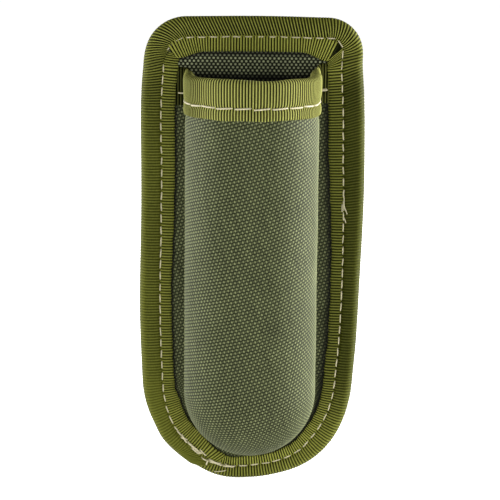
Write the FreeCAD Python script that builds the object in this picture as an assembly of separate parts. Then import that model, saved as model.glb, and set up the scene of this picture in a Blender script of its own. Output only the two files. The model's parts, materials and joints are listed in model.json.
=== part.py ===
import FreeCAD, Part
import os

from FreeCAD import Placement, Rotation, Vector

# Open-topped belt holster for a hand-held flashlight, moulded from a nylon, foam and lining laminate.
# Frame: +X to the right seen from the front, -Y to the front, +Y to the wearer, +Z up.
# The origin is on the axis of the light well, at the height where the straight well meets its round end.

# ---- Driving dimensions (mm) -------------------------------------------------------------------

# Outline of the sewn back, measured over its edge binding
TOP_Z = 122.0
BOTTOM_Z = -36.5
TOP_HALF_WIDTH = 37.6
BOTTOM_HALF_WIDTH = 35.6
TOP_CROWN = 0.6
TOP_CORNER_RADIUS = 15.0
BOTTOM_CORNER_RADIUS = 34.8

# Light well and the laminate around it: woven face, foam and lining, from the outside in
WELL_RADIUS = 19.1
MOUTH_Z = 105.0
WALL_LAYERS = (0.5, 1.8, 0.3)
MOUTH_WALL_LAYERS = (0.45, 0.85, 0.3)
ROOT_FILLET = 1.2

# Flange that carries the pocket on the back panel, from its front face back to the panel
FLANGE_BACK = 20.0
FLANGE_LAYERS = (0.5, 1.2, 0.3)
MOUTH_FLANGE_LAYERS = (0.4, 0.35, 0.25)

# Grosgrain tape folded over the mouth
MOUTH_TAPE = 0.5
MOUTH_OUTER_LEG = 12.8
MOUTH_INNER_LEG = 9.5
MOUTH_ROUNDING = 0.9
NECK_HEIGHT = 2.0

# Back panel, from the pocket side to the wearer: woven face, foam, stiffener and rear fabric
PANEL_LAYERS = (0.5, 0.8, 0.7, 0.5)
LAYER_INSET = 1.9
LAYER_GAP = 0.02

# Grosgrain tape folded round the whole outline
EDGE_TAPE = 0.6
EDGE_LEG = 11.7
EDGE_FOOT_LEG = 9.0
EDGE_REAR_LEG = 9.6
EDGE_REAR_FOOT_LEG = 12.0
EDGE_ROUNDING = 1.8

# Seams
THREAD_RADIUS = 0.25
LEG_SPREAD = 0.27
THREAD_GAP = 0.1
EDGE_SEAM_INSET = 6.8
EDGE_SEAM_FOOT_INSET = 4.6
EDGE_SEAM_STITCHES = 108
MOUTH_SEAM_DROP = 8.9
MOUTH_SEAM_STITCHES = 17
BOBBIN_SINK = 0.45
STITCH_PITCH = 3.6

# Belt strap, folded down over the belt and closed by hook and loop with two snaps
STRAP_HALF_WIDTH = 22.25
STRAP_THICKNESS = 2.0
STRAP_TOP_Z = 104.0
FOLD_Z = 77.0
BELT_DEPTH = 6.5
PASSAGE_TOP_Z = 72.0
PASSAGE_BOTTOM_Z = 24.0
TAB_TOP_Z = 19.5
TAB_END_Z = -8.0
TAB_CORNER = 5.0
STRAP_BEND_RADIUS = 2.0
BOX_STITCH_INSET = 3.5
DIAGONAL_SHARE = 0.92
DIAGONAL_GAP_SHARE = 0.06

# Hook and loop patches
PATCH_HALF_WIDTH = 21.5
PATCH_BOTTOM_Z = -7.0
PATCH_TOP_Z = 15.0
PATCH_THICKNESS = 1.3
PATCH_CORNER = 3.0
PATCH_SEAM_INSET = 1.5

# Snap fasteners, size 24
SNAP_X = 11.0
SNAP_Z = 4.0
SNAP_CLEARANCE = 0.05
SNAP_HOLE_RADIUS = 2.1
PATCH_HOLE_RADIUS = 7.0
BARREL_RADIUS = 2.0
BARREL_BORE = 1.6
FLANGE_RADIUS = 6.0
EYELET_FLANGE = 0.4
FOAM_CLEARANCE = 0.2
STUD_FLANGE = 0.5
STUD_NECK_RADIUS = 3.0
STUD_HEAD_RADIUS = 3.6
STUD_HEIGHT = 2.1
STUD_HEAD_HEIGHT = 0.65
STUD_HEAD_BEVEL = 0.2
SOCKET_RADIUS = 6.25
SOCKET_BODY_RADIUS = 5.4
SOCKET_CAVITY_RADIUS = 4.1
SOCKET_MOUTH_RADIUS = 3.7
SOCKET_DEPTH = 1.95
SOCKET_SHEET = 0.35
SPRING_RADIUS = 3.6
SPRING_WIRE_RADIUS = 0.25
CAP_RADIUS = 7.5
CAP_HEIGHT = 1.5
CAP_ROUNDING = 1.2

# ---- Derived positions -------------------------------------------------------------------------

OUTER_RADIUS = WELL_RADIUS + sum(WALL_LAYERS)
FLANGE_FRONT = FLANGE_BACK - sum(FLANGE_LAYERS)
PANEL_BACK = FLANGE_BACK + sum(PANEL_LAYERS)
NECK_TOP_Z = MOUTH_Z - MOUTH_OUTER_LEG
NECK_BOTTOM_Z = NECK_TOP_Z - NECK_HEIGHT
LAMINATE_TOP_Z = MOUTH_Z - MOUTH_TAPE
STRAP_FRONT = PANEL_BACK + SNAP_CLEARANCE
STRAP_BACK = STRAP_FRONT + STRAP_THICKNESS
HOOK_BACK = STRAP_FRONT + PATCH_THICKNESS
LOOP_FRONT = HOOK_BACK + SNAP_CLEARANCE
TAB_FRONT = LOOP_FRONT + PATCH_THICKNESS
TAB_BACK = TAB_FRONT + STRAP_THICKNESS
SNAP_XS = (-SNAP_X, SNAP_X)

# Reach of cutting blocks that must pass right through the part
REACH = 200.0
TINY = 1e-4


# ---- Helpers -----------------------------------------------------------------------------------


def box(x_range, y_range, z_range):
    """Block between the two limits given for each axis."""
    sizes = [high - low for low, high in (x_range, y_range, z_range)]
    return Part.makeBox(*sizes, Vector(x_range[0], y_range[0], z_range[0]))


def round_edges(shape, radius, wanted):
    """Fillet the edges of a shape that the test function accepts."""
    return shape.makeFillet(radius, [edge for edge in shape.Edges if wanted(edge)])


def side_extrusion(profile, half_width):
    """Closed (y, z) profile run out to both sides by half_width."""
    points = [Vector(-half_width, y, z) for y, z in profile + profile[:1]]
    face = Part.Face(Part.makePolygon(points))
    return face.extrude(Vector(2 * half_width, 0, 0))


def rounded_patch(half_width, z_range, y_range, corner):
    """Upright plate with four rounded corners."""
    plate = box((-half_width, half_width), y_range, z_range)
    return round_edges(plate, corner, lambda edge: edge.BoundBox.YLength > TINY)


def snap_holes(radius, y_range):
    """Round holes on the axes of both snaps."""
    length = y_range[1] - y_range[0]
    starts = [Vector(x, y_range[0], SNAP_Z) for x in SNAP_XS]
    return [Part.makeCylinder(radius, length, start, Vector(0, 1, 0)) for start in starts]


def turned_pair(profile):
    """Closed (radius, y) profile turned about the axis of each snap."""
    points = [Vector(radius, y, 0) for radius, y in profile + profile[:1]]
    ring = Part.Face(Part.makePolygon(points)).revolve(Vector(), Vector(0, 1, 0), 360)
    return [ring.translated(Vector(x, 0, SNAP_Z)) for x in SNAP_XS]


# ---- Outline of the sewn back ------------------------------------------------------------------


def half_width_at(z):
    """Half the width of the outline before its corners are rounded."""
    share = (z - BOTTOM_Z) / (TOP_Z - BOTTOM_Z)
    return BOTTOM_HALF_WIDTH + share * (TOP_HALF_WIDTH - BOTTOM_HALF_WIDTH)


def outline_plate(inset, y_front, y_back, foot_inset=None):
    """Plate with the outline moved in by inset, between two depths. The foot may have its own inset."""
    shoulder = TOP_Z - TOP_CROWN - inset
    foot = BOTTOM_Z + (inset if foot_inset is None else foot_inset)
    wide = half_width_at(shoulder) - inset
    narrow = half_width_at(foot) - inset
    corners = [
        Vector(wide, y_front, shoulder),
        Vector(narrow, y_front, foot),
        Vector(-narrow, y_front, foot),
        Vector(-wide, y_front, shoulder),
    ]
    crown = Part.Arc(corners[3], Vector(0, y_front, TOP_Z - inset), corners[0]).toShape()
    sides = [Part.makeLine(a, b) for a, b in zip(corners, corners[1:])]
    plate = Part.Face(Part.Wire(sides + [crown])).extrude(Vector(0, y_back - y_front, 0))

    def is_upper(edge):
        return edge.BoundBox.YLength > TINY and edge.BoundBox.ZMin > 0

    def is_lower(edge):
        return edge.BoundBox.YLength > TINY and edge.BoundBox.ZMax < foot + TINY

    plate = round_edges(plate, TOP_CORNER_RADIUS - inset, is_upper)
    return round_edges(plate, BOTTOM_CORNER_RADIUS - inset, is_lower)


def edge_seam_points(y, count):
    """Evenly spaced points along the seam that holds the edge binding."""
    plate = outline_plate(EDGE_SEAM_INSET, y, y + 1, EDGE_SEAM_FOOT_INSET)
    front = min(plate.Faces, key=lambda face: face.BoundBox.YMax)
    return front.OuterWire.discretize(Number=count + 1)


# ---- Pocket laminate ---------------------------------------------------------------------------


def pocket_section(radius, z):
    """Outline of the pocket at one height: a half circle in front, straight sides behind."""
    back = FLANGE_BACK + 1
    corners = [Vector(radius, 0, z), Vector(radius, back, z), Vector(-radius, back, z), Vector(-radius, 0, z)]
    front = Part.Arc(corners[3], Vector(0, -radius, z), corners[0]).toShape()
    return Part.Wire([Part.makeLine(a, b) for a, b in zip(corners, corners[1:])] + [front])


def pocket_core(radius, mouth_radius, top_z):
    """Solid filling of the pocket out to one radius, with its round end and pressed mouth."""
    body = Part.Face(pocket_section(radius, 0)).extrude(Vector(0, 0, NECK_BOTTOM_Z))
    ends = [pocket_section(radius, NECK_BOTTOM_Z), pocket_section(mouth_radius, NECK_TOP_Z)]
    neck = Part.makeLoft(ends, True, True)
    mouth = Part.Face(ends[1]).extrude(Vector(0, 0, top_z - NECK_TOP_Z))
    left, right = Vector(-radius, 0, 0), Vector(radius, 0, 0)
    arc = Part.Arc(left, Vector(0, 0, -radius), right).toShape()
    half_disc = Part.Face(Part.Wire([arc, Part.makeLine(right, left)]))
    trough = half_disc.extrude(Vector(0, FLANGE_BACK + 1, 0))
    nose = half_disc.revolve(Vector(), Vector(1, 0, 0), -90)
    return body.fuse([neck, mouth, trough, nose]).removeSplitter()


def flange_slab(front, mouth_front, top_z):
    """Everything behind the flange depth given, which changes at the pressed mouth."""
    profile = [
        (front, -REACH),
        (front, NECK_BOTTOM_Z),
        (mouth_front, NECK_TOP_Z),
        (mouth_front, top_z),
        (FLANGE_BACK + 1, top_z),
        (FLANGE_BACK + 1, -REACH),
    ]
    return side_extrusion(profile, REACH)


def laminate_core(layers_passed, shrink=0.0, top_z=LAMINATE_TOP_Z):
    """Everything inside the boundary reached after passing some layers from the outside."""
    passed = slice(0, layers_passed)
    radius = OUTER_RADIUS - sum(WALL_LAYERS[passed]) - shrink
    mouth_radius = OUTER_RADIUS - MOUTH_TAPE - sum(MOUTH_WALL_LAYERS[passed]) - shrink
    front = FLANGE_FRONT + sum(FLANGE_LAYERS[passed]) + shrink
    mouth_front = FLANGE_FRONT + MOUTH_TAPE + sum(MOUTH_FLANGE_LAYERS[passed]) + shrink
    core = pocket_core(radius, mouth_radius, top_z)
    return core.fuse(flange_slab(front, mouth_front, top_z)).removeSplitter()


def laminate_limits():
    """Block that trims the pocket laminate to the outline and to the panel behind it."""
    return outline_plate(LAYER_INSET, -REACH, FLANGE_BACK)


def is_root_edge(edge):
    """Edge where the pocket wall turns into the flange, below the mouth."""
    bound = edge.BoundBox
    on_flange = bound.YLength < TINY and abs(bound.YMin - FLANGE_FRONT) < TINY
    near_pocket = bound.XMin > -OUTER_RADIUS - 1 and bound.XMax < OUTER_RADIUS + 1
    return on_flange and near_pocket and bound.ZMax < NECK_BOTTOM_Z + TINY


def front_shell_layer(index):
    """One layer of the pocket laminate, counted from the outside."""
    outside = laminate_core(index, LAYER_GAP if index else 0.0)
    if index == 0:
        outside = round_edges(outside, ROOT_FILLET, is_root_edge)
    inside = laminate_core(index + 1)
    return outside.cut(inside).common(laminate_limits())


def mouth_tape():
    """Tape folded over the mouth of the pocket and on across both sides of the flange."""
    foot = NECK_TOP_Z
    tube = Part.Face(pocket_section(OUTER_RADIUS, foot)).extrude(Vector(0, 0, MOUTH_OUTER_LEG))
    flange = box((-REACH, REACH), (FLANGE_FRONT, FLANGE_BACK + 1), (foot, MOUTH_Z))
    well = Part.Face(pocket_section(WELL_RADIUS, foot)).extrude(Vector(0, 0, MOUTH_OUTER_LEG))
    blank = tube.fuse(flange).removeSplitter().cut(well)

    def is_rim(edge):
        bound = edge.BoundBox
        runs_back = bound.XLength < TINY and bound.YMin < TINY
        return bound.ZMin > MOUTH_Z - TINY and (bound.YMax < FLANGE_BACK + TINY or runs_back)

    blank = round_edges(blank, MOUTH_ROUNDING, is_rim)
    lined = laminate_core(len(WALL_LAYERS), LAYER_GAP, MOUTH_Z)
    laminate = laminate_core(0, -LAYER_GAP, LAMINATE_TOP_Z + LAYER_GAP).cut(lined)
    below_inner_leg = box((-REACH, REACH), (-REACH, REACH), (-REACH, MOUTH_Z - MOUTH_INNER_LEG))
    return blank.cut([laminate, lined.common(below_inner_leg)]).common(laminate_limits())


# ---- Back panel and edge binding ---------------------------------------------------------------


def panel_layer(index):
    """One layer of the back panel, counted from the pocket side."""
    front = FLANGE_BACK + sum(PANEL_LAYERS[:index]) + LAYER_GAP
    return outline_plate(LAYER_INSET, front, FLANGE_BACK + sum(PANEL_LAYERS[: index + 1]))


def panel_foam():
    """Foam of the back panel, with pockets for the flanges of the snap eyelets."""
    back = FLANGE_BACK + sum(PANEL_LAYERS[:2])
    floor = back - EYELET_FLANGE - 2 * SNAP_CLEARANCE
    pockets = snap_holes(FLANGE_RADIUS + FOAM_CLEARANCE, (floor, back + 1))
    return panel_layer(1).cut(pockets)


def pierced_panel_layer(index):
    """Panel layer with the holes that the snap eyelets pass through."""
    return panel_layer(index).cut(snap_holes(SNAP_HOLE_RADIUS, (0, PANEL_BACK + 1)))


def rounded_plate(inset, y_front, y_back, radius):
    """Outline plate with both its rims rounded over."""
    plate = outline_plate(inset, y_front, y_back)
    return round_edges(plate, radius, lambda edge: edge.BoundBox.YLength < TINY)


def edge_sleeve(inset, grow):
    """Rounded sleeve round the sandwich, which is thinner above the mouth, where the flange ends."""
    back = PANEL_BACK + grow
    step_z = MOUTH_Z + grow
    above = box((-REACH, REACH), (-REACH, REACH), (step_z, REACH))
    thick = rounded_plate(inset, FLANGE_FRONT - grow, back, EDGE_ROUNDING - inset)
    thin = rounded_plate(inset, FLANGE_BACK - grow, back, EDGE_ROUNDING - inset)
    return thick.cut(above).fuse(thin.common(above)).removeSplitter()


def edge_binding():
    """Tape folded round the edge of the whole sandwich, a little further forward at the sides."""
    middle = (FLANGE_BACK + PANEL_BACK) / 2
    windows = [
        outline_plate(EDGE_LEG, -REACH, middle, EDGE_FOOT_LEG),
        outline_plate(EDGE_REAR_LEG, middle, REACH, EDGE_REAR_FOOT_LEG),
    ]
    return edge_sleeve(0, EDGE_TAPE).cut([edge_sleeve(EDGE_TAPE, LAYER_GAP)] + windows)


# ---- Seams -------------------------------------------------------------------------------------


def stitch(start, end, inward, leg):
    """One visible stitch: a bar of thread with two legs that dip into the layers."""
    along = end - start
    half = along.Length / 2 - LEG_SPREAD
    knees = [Vector(-half, 0, 0), Vector(half, 0, 0)]
    bar = Part.makeCylinder(THREAD_RADIUS, 2 * half, knees[0], Vector(1, 0, 0))
    pieces = [Part.makeSphere(THREAD_RADIUS, knee) for knee in knees]
    pieces += [Part.makeCylinder(THREAD_RADIUS, leg, knee, Vector(0, 0, -1)) for knee in knees]
    thread = bar.fuse(pieces).removeSplitter()
    turn = Rotation(along, Vector(), inward * -1, "XZY")
    thread.Placement = Placement((start + end) / 2, turn)
    return thread


def row_of_stitches(path, depth, reach):
    """Stitches joining (point, inward) pairs, sunk by depth, whose legs end at reach."""
    stitches = []
    for (start, inward_start), (end, inward_end) in zip(path, path[1:]):
        begin = start + inward_start * depth
        finish = end + inward_end * depth
        stitches.append(stitch(begin, finish, inward_start + inward_end, reach - depth))
    return stitches


def far_side(path, thickness):
    """The same seam path seen from the other face of the sandwich."""
    return [(point + inward * thickness, inward * -1) for point, inward in path]


def edge_seam(inward):
    """Thread on one face of the edge binding, whose front face steps back above the mouth."""
    flange = FLANGE_BACK - FLANGE_FRONT
    thickness = PANEL_BACK - FLANGE_FRONT + 2 * EDGE_TAPE
    on_front = inward.y > 0
    surface_y = FLANGE_FRONT - EDGE_TAPE if on_front else PANEL_BACK + EDGE_TAPE
    path = []
    for point in edge_seam_points(surface_y, EDGE_SEAM_STITCHES):
        if on_front and point.z > MOUTH_Z:
            point.y += flange
        path.append((point, inward))
    stitches = []
    for pair in zip(path, path[1:]):
        above_mouth = max(point.z for point, _ in pair) > MOUTH_Z
        local = thickness - flange if above_mouth else thickness
        stitches += row_of_stitches(pair, 0.0, local / 2 - THREAD_GAP)
    return stitches


def mouth_seam_path():
    """Seam round the outside of the mouth tape, as points with their inward directions."""
    z = MOUTH_Z - MOUTH_SEAM_DROP
    back = FLANGE_FRONT - 2 * LEG_SPREAD
    left, right = Vector(-OUTER_RADIUS, 0, z), Vector(OUTER_RADIUS, 0, z)
    front = Part.Arc(left, Vector(0, -OUTER_RADIUS, z), right).toShape()
    edges = [Part.makeLine(Vector(-OUTER_RADIUS, back, z), left), front]
    edges.append(Part.makeLine(right, Vector(OUTER_RADIUS, back, z)))
    path = []
    for point in Part.Wire(edges).discretize(Number=MOUTH_SEAM_STITCHES + 1):
        outward = Vector(point.x, min(point.y, 0), 0).normalize()
        path.append((point, outward * -1))
    return path


def flange_seam_paths():
    """Short end of the mouth seam on each side of the flange."""
    z = MOUTH_Z - MOUTH_SEAM_DROP
    near = OUTER_RADIUS + 3 * LEG_SPREAD
    far = half_width_at(z) - EDGE_LEG - LEG_SPREAD
    inward = Vector(0, 1, 0)
    ends = [(-far, -near), (near, far)]
    return [[(Vector(x, FLANGE_FRONT, z), inward) for x in pair] for pair in ends]


def mouth_seam_needle():
    """Thread on the outside of the mouth tape."""
    wall = OUTER_RADIUS - WELL_RADIUS
    stitches = row_of_stitches(mouth_seam_path(), 0.0, wall / 2 - THREAD_GAP)
    reach = sum(FLANGE_LAYERS) / 2 - THREAD_GAP
    for path in flange_seam_paths():
        stitches += row_of_stitches(path, 0.0, reach)
    return stitches


def mouth_seam_bobbin():
    """Thread on the inside of the mouth tape, pulled down flush so that nothing catches the light."""
    wall = OUTER_RADIUS - WELL_RADIUS
    return row_of_stitches(far_side(mouth_seam_path(), wall), BOBBIN_SINK, wall / 2 - THREAD_GAP)


def straight_path(start, end, inward):
    """Evenly spaced seam points between two places."""
    count = max(1, round((end - start).Length / STITCH_PITCH))
    return [(start + (end - start) * (step / count), inward) for step in range(count + 1)]


def loop_path(x_limit, z_range, y, inward):
    """Seam path along the four sides of an upright rectangle."""
    low, high = z_range
    corners = [(-x_limit, low), (x_limit, low), (x_limit, high), (-x_limit, high), (-x_limit, low)]
    points = [Vector(x, y, z) for x, z in corners]
    return [straight_path(a, b, inward) for a, b in zip(points, points[1:])]


def box_stitch():
    """Box seam with two diagonals that holds the fixed end of the belt strap."""
    x = STRAP_HALF_WIDTH - BOX_STITCH_INSET
    low, high = FOLD_Z + BOX_STITCH_INSET, STRAP_TOP_Z - BOX_STITCH_INSET
    inward = Vector(0, -1, 0)
    paths = loop_path(x, (low, high), STRAP_BACK, inward)
    centre = Vector(0, STRAP_BACK, (low + high) / 2)
    rising = Vector(x, STRAP_BACK, high) - centre
    falling = Vector(x, STRAP_BACK, low) - centre
    tip = rising * DIAGONAL_SHARE
    paths.append(straight_path(centre - tip, centre + tip, inward))
    for way in (-1, 1):
        start = centre + falling * (way * DIAGONAL_GAP_SHARE)
        paths.append(straight_path(start, centre + falling * (way * DIAGONAL_SHARE), inward))
    depth = STRAP_BACK - (FLANGE_BACK + sum(PANEL_LAYERS[:2]))
    needle = [one for path in paths for one in row_of_stitches(path, 0.0, depth / 2 - THREAD_GAP)]
    back = [
        one
        for path in paths
        for one in row_of_stitches(far_side(path, depth), 0.0, depth / 2 - THREAD_GAP)
    ]
    return needle + back


def patch_stitch(y_face, y_far, inward):
    """Flush seam round a hook or loop patch, through what lies behind it."""
    z_range = (PATCH_BOTTOM_Z + PATCH_SEAM_INSET, PATCH_TOP_Z - PATCH_SEAM_INSET)
    paths = loop_path(PATCH_HALF_WIDTH - PATCH_SEAM_INSET, z_range, y_face, inward)
    depth = abs(y_far - y_face)
    sink = THREAD_RADIUS + LAYER_GAP
    return [one for path in paths for one in row_of_stitches(path, sink, depth)]


# ---- Belt strap --------------------------------------------------------------------------------


def strap_sewn_end():
    """Fixed top end of the belt strap, flat on the back panel."""
    return box(
        (-STRAP_HALF_WIDTH, STRAP_HALF_WIDTH), (STRAP_FRONT, STRAP_BACK), (FOLD_Z, STRAP_TOP_Z)
    )


def strap_flap():
    """Swinging part of the belt strap: out over the belt, down and back in to the closing tab."""
    belt_front = STRAP_FRONT + BELT_DEPTH
    belt_back = belt_front + STRAP_THICKNESS
    top = FOLD_Z - SNAP_CLEARANCE
    profile = [
        (STRAP_FRONT, top),
        (belt_front, PASSAGE_TOP_Z),
        (belt_front, PASSAGE_BOTTOM_Z),
        (TAB_FRONT, TAB_TOP_Z),
        (TAB_FRONT, TAB_END_Z),
        (TAB_BACK, TAB_END_Z),
        (TAB_BACK, TAB_TOP_Z - 1),
        (belt_back, PASSAGE_BOTTOM_Z - 1),
        (belt_back, PASSAGE_TOP_Z + 1),
        (STRAP_BACK, top),
    ]
    strap = side_extrusion(profile, STRAP_HALF_WIDTH)

    def is_bend(edge):
        bound = edge.BoundBox
        return bound.XLength > TINY and TAB_END_Z + 1 < bound.ZMin < top - 1

    def is_tab_corner(edge):
        bound = edge.BoundBox
        return bound.YLength > 1 and bound.ZMax < TAB_END_Z + TINY

    strap = round_edges(strap, STRAP_BEND_RADIUS, is_bend)
    strap = round_edges(strap, TAB_CORNER, is_tab_corner)
    return strap.cut(snap_holes(SNAP_HOLE_RADIUS, (TAB_FRONT - 1, TAB_BACK + 1)))


def patch(y_front):
    """Hook or loop patch with round openings for the snaps."""
    y_range = (y_front, y_front + PATCH_THICKNESS - LAYER_GAP)
    plate = rounded_patch(PATCH_HALF_WIDTH, (PATCH_BOTTOM_Z, PATCH_TOP_Z), y_range, PATCH_CORNER)
    return plate.cut(snap_holes(PATCH_HOLE_RADIUS, (y_front - 1, y_front + PATCH_THICKNESS + 1)))


# ---- Snap fasteners ----------------------------------------------------------------------------


def snap_studs():
    """Stud half of each snap, on the rear fabric."""
    base, tip = STRAP_FRONT, STRAP_FRONT + STUD_HEIGHT
    bore = BARREL_RADIUS + SNAP_CLEARANCE
    flange_top = base + STUD_FLANGE
    head_base = tip - STUD_HEAD_HEIGHT
    profile = [
        (bore, base),
        (FLANGE_RADIUS, base),
        (FLANGE_RADIUS, flange_top),
        (STUD_NECK_RADIUS, flange_top),
        (STUD_NECK_RADIUS, head_base),
        (STUD_HEAD_RADIUS, head_base + STUD_HEAD_BEVEL),
        (STUD_HEAD_RADIUS, tip - STUD_HEAD_BEVEL),
        (STUD_NECK_RADIUS, tip),
        (bore, tip),
    ]
    return turned_pair(profile)


def snap_stud_eyelets():
    """Eyelet that rivets each stud through the rear fabric and the stiffener."""
    back = FLANGE_BACK + sum(PANEL_LAYERS[:2]) - SNAP_CLEARANCE
    front = back - EYELET_FLANGE
    tip = STRAP_FRONT + STUD_HEIGHT - STUD_HEAD_BEVEL
    profile = [
        (BARREL_BORE, front),
        (FLANGE_RADIUS, front),
        (FLANGE_RADIUS, back),
        (BARREL_RADIUS, back),
        (BARREL_RADIUS, tip),
        (BARREL_BORE, tip),
    ]
    return turned_pair(profile)


def snap_sockets():
    """Socket half of each snap, on the inside of the closing tab."""
    back = TAB_FRONT - SNAP_CLEARANCE
    mouth = back - SOCKET_DEPTH
    bore = BARREL_RADIUS + SNAP_CLEARANCE
    profile = [
        (bore, back),
        (SOCKET_RADIUS, back),
        (SOCKET_RADIUS, back - SOCKET_SHEET),
        (SOCKET_BODY_RADIUS, back - SOCKET_SHEET),
        (SOCKET_BODY_RADIUS, mouth),
        (SOCKET_MOUTH_RADIUS, mouth),
        (SOCKET_MOUTH_RADIUS, mouth + SOCKET_SHEET),
        (SOCKET_CAVITY_RADIUS, mouth + SOCKET_SHEET),
        (SOCKET_CAVITY_RADIUS, back - SOCKET_SHEET),
        (bore, back - SOCKET_SHEET),
    ]
    return turned_pair(profile)


def snap_springs():
    """Wire ring in each socket that closes behind the head of the stud."""
    y = TAB_FRONT - SNAP_CLEARANCE - SOCKET_DEPTH + SOCKET_SHEET + SPRING_WIRE_RADIUS + LAYER_GAP
    axis = Vector(0, 1, 0)
    centres = [Vector(x, y, SNAP_Z) for x in SNAP_XS]
    return [Part.makeTorus(SPRING_RADIUS, SPRING_WIRE_RADIUS, centre, axis) for centre in centres]


def snap_caps():
    """Domed cap on the outside of the tab, with the barrel that holds the socket."""
    base = TAB_BACK + SNAP_CLEARANCE
    end = TAB_FRONT - SOCKET_SHEET
    bore_end = base + CAP_HEIGHT / 4
    profile = [
        (BARREL_BORE, end),
        (BARREL_RADIUS, end),
        (BARREL_RADIUS, base),
        (CAP_RADIUS, base),
        (CAP_RADIUS, base + CAP_HEIGHT),
        (0, base + CAP_HEIGHT),
        (0, bore_end),
        (BARREL_BORE, bore_end),
    ]

    def is_rim(edge):
        return edge.BoundBox.YMin > base + CAP_HEIGHT - TINY and edge.BoundBox.XLength > CAP_RADIUS

    return [round_edges(cap, CAP_ROUNDING, is_rim) for cap in turned_pair(profile)]


# ---- Nodes -------------------------------------------------------------------------------------


def as_list(shapes):
    """A single shape or a list of shapes, as a list of its solids."""
    shapes = shapes if isinstance(shapes, list) else [shapes]
    return [solid for shape in shapes for solid in shape.Solids]


def nodes():
    """Every separate piece of the holster, by node name."""
    forward, backward = Vector(0, -1, 0), Vector(0, 1, 0)
    foam_back = FLANGE_BACK + sum(PANEL_LAYERS[:2])
    return {
        "front_shell_outer_fabric": front_shell_layer(0),
        "front_shell_foam": front_shell_layer(1),
        "front_shell_lining": front_shell_layer(2),
        "mouth_binding_tape": mouth_tape(),
        "mouth_seam_needle_thread": mouth_seam_needle(),
        "mouth_seam_bobbin_thread": mouth_seam_bobbin(),
        "back_panel_face_fabric": panel_layer(0),
        "back_panel_foam": panel_foam(),
        "back_panel_stiffener": pierced_panel_layer(2),
        "back_panel_rear_fabric": pierced_panel_layer(3),
        "edge_binding_tape": edge_binding(),
        "edge_seam_needle_thread": edge_seam(backward),
        "edge_seam_bobbin_thread": edge_seam(forward),
        "belt_strap_sewn_end": strap_sewn_end(),
        "belt_strap_flap": strap_flap(),
        "belt_strap_box_stitch": box_stitch(),
        "hook_patch": patch(STRAP_FRONT),
        "hook_patch_stitch": patch_stitch(HOOK_BACK, foam_back, forward),
        "loop_patch": patch(LOOP_FRONT),
        "loop_patch_stitch": patch_stitch(LOOP_FRONT, TAB_BACK, backward),
        "snap_studs": snap_studs(),
        "snap_stud_eyelets": snap_stud_eyelets(),
        "snap_sockets": snap_sockets(),
        "snap_socket_springs": snap_springs(),
        "snap_caps": snap_caps(),
    }


def main():
    os.makedirs("parts", exist_ok=True)
    for name, shapes in nodes().items():
        solids = as_list(shapes)
        shape = solids[0] if len(solids) == 1 else Part.makeCompound(solids)
        shape.exportStep(f"parts/{name}.step")


main()
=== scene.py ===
import json
import math

import bpy
import numpy as np
from mathutils import Matrix, Vector


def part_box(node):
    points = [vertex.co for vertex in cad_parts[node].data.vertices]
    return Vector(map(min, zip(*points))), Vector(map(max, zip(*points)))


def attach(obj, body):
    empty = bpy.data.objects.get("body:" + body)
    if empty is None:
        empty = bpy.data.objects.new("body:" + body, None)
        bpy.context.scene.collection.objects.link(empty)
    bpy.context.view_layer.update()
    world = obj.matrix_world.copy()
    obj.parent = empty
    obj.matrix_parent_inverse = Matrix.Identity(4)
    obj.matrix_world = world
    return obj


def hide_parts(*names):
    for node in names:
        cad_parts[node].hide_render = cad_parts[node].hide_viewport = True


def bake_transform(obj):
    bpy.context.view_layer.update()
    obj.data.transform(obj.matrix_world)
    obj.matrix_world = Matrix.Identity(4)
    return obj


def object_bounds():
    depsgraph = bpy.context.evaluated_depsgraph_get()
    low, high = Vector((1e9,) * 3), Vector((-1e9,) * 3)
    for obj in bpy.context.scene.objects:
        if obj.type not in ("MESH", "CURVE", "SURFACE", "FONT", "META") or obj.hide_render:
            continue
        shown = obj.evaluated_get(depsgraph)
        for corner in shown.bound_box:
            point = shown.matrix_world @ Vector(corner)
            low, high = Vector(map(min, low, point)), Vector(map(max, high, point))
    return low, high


# Looks of a moulded nylon flashlight holster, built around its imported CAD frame.
# Lengths are in millimetres and become metres when a mesh is made.
# Frame: +X to the right seen from the front, -Y to the front, +Z up the well.

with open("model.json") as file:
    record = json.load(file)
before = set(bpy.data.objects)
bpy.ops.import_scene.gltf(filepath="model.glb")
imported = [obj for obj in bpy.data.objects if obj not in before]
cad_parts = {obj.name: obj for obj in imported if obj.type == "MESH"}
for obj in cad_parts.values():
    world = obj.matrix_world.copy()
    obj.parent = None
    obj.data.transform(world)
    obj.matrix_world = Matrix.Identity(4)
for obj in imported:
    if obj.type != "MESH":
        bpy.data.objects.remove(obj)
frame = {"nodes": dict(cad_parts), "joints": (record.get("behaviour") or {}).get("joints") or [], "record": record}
cad_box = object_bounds()

MM = 0.001
FRONT = np.array([0.0, -1.0, 0.0])
BACK = np.array([0.0, 1.0, 0.0])


def corners(node):
    """Lowest and highest corner of a CAD node in millimetres."""
    return [np.array(corner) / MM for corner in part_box(node)]


# ---- Sizes from the frame ----

(_, EDGE_FRONT_Y, FOOT_Z), (SIDE_X, EDGE_REAR_Y, TOP_Z) = corners("edge_binding_tape")
(_, _, MOUTH_FOOT_Z), (_, _, MOUTH_Z) = corners("mouth_binding_tape")
SEWN_LOW, SEWN_HIGH = corners("belt_strap_sewn_end")
FLAP_LOW, FLAP_HIGH = corners("belt_strap_flap")
HOOK_LOW, HOOK_HIGH = corners("hook_patch")
LOOP_LOW, LOOP_HIGH = corners("loop_patch")
CAPS_LOW, CAPS_HIGH = corners("snap_caps")
FOLD = np.array(frame["joints"][0]["pos_m"]) / MM
WELL_RADIUS = frame["record"]["mounts"][0]["dims"]["r_mm"]

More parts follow.
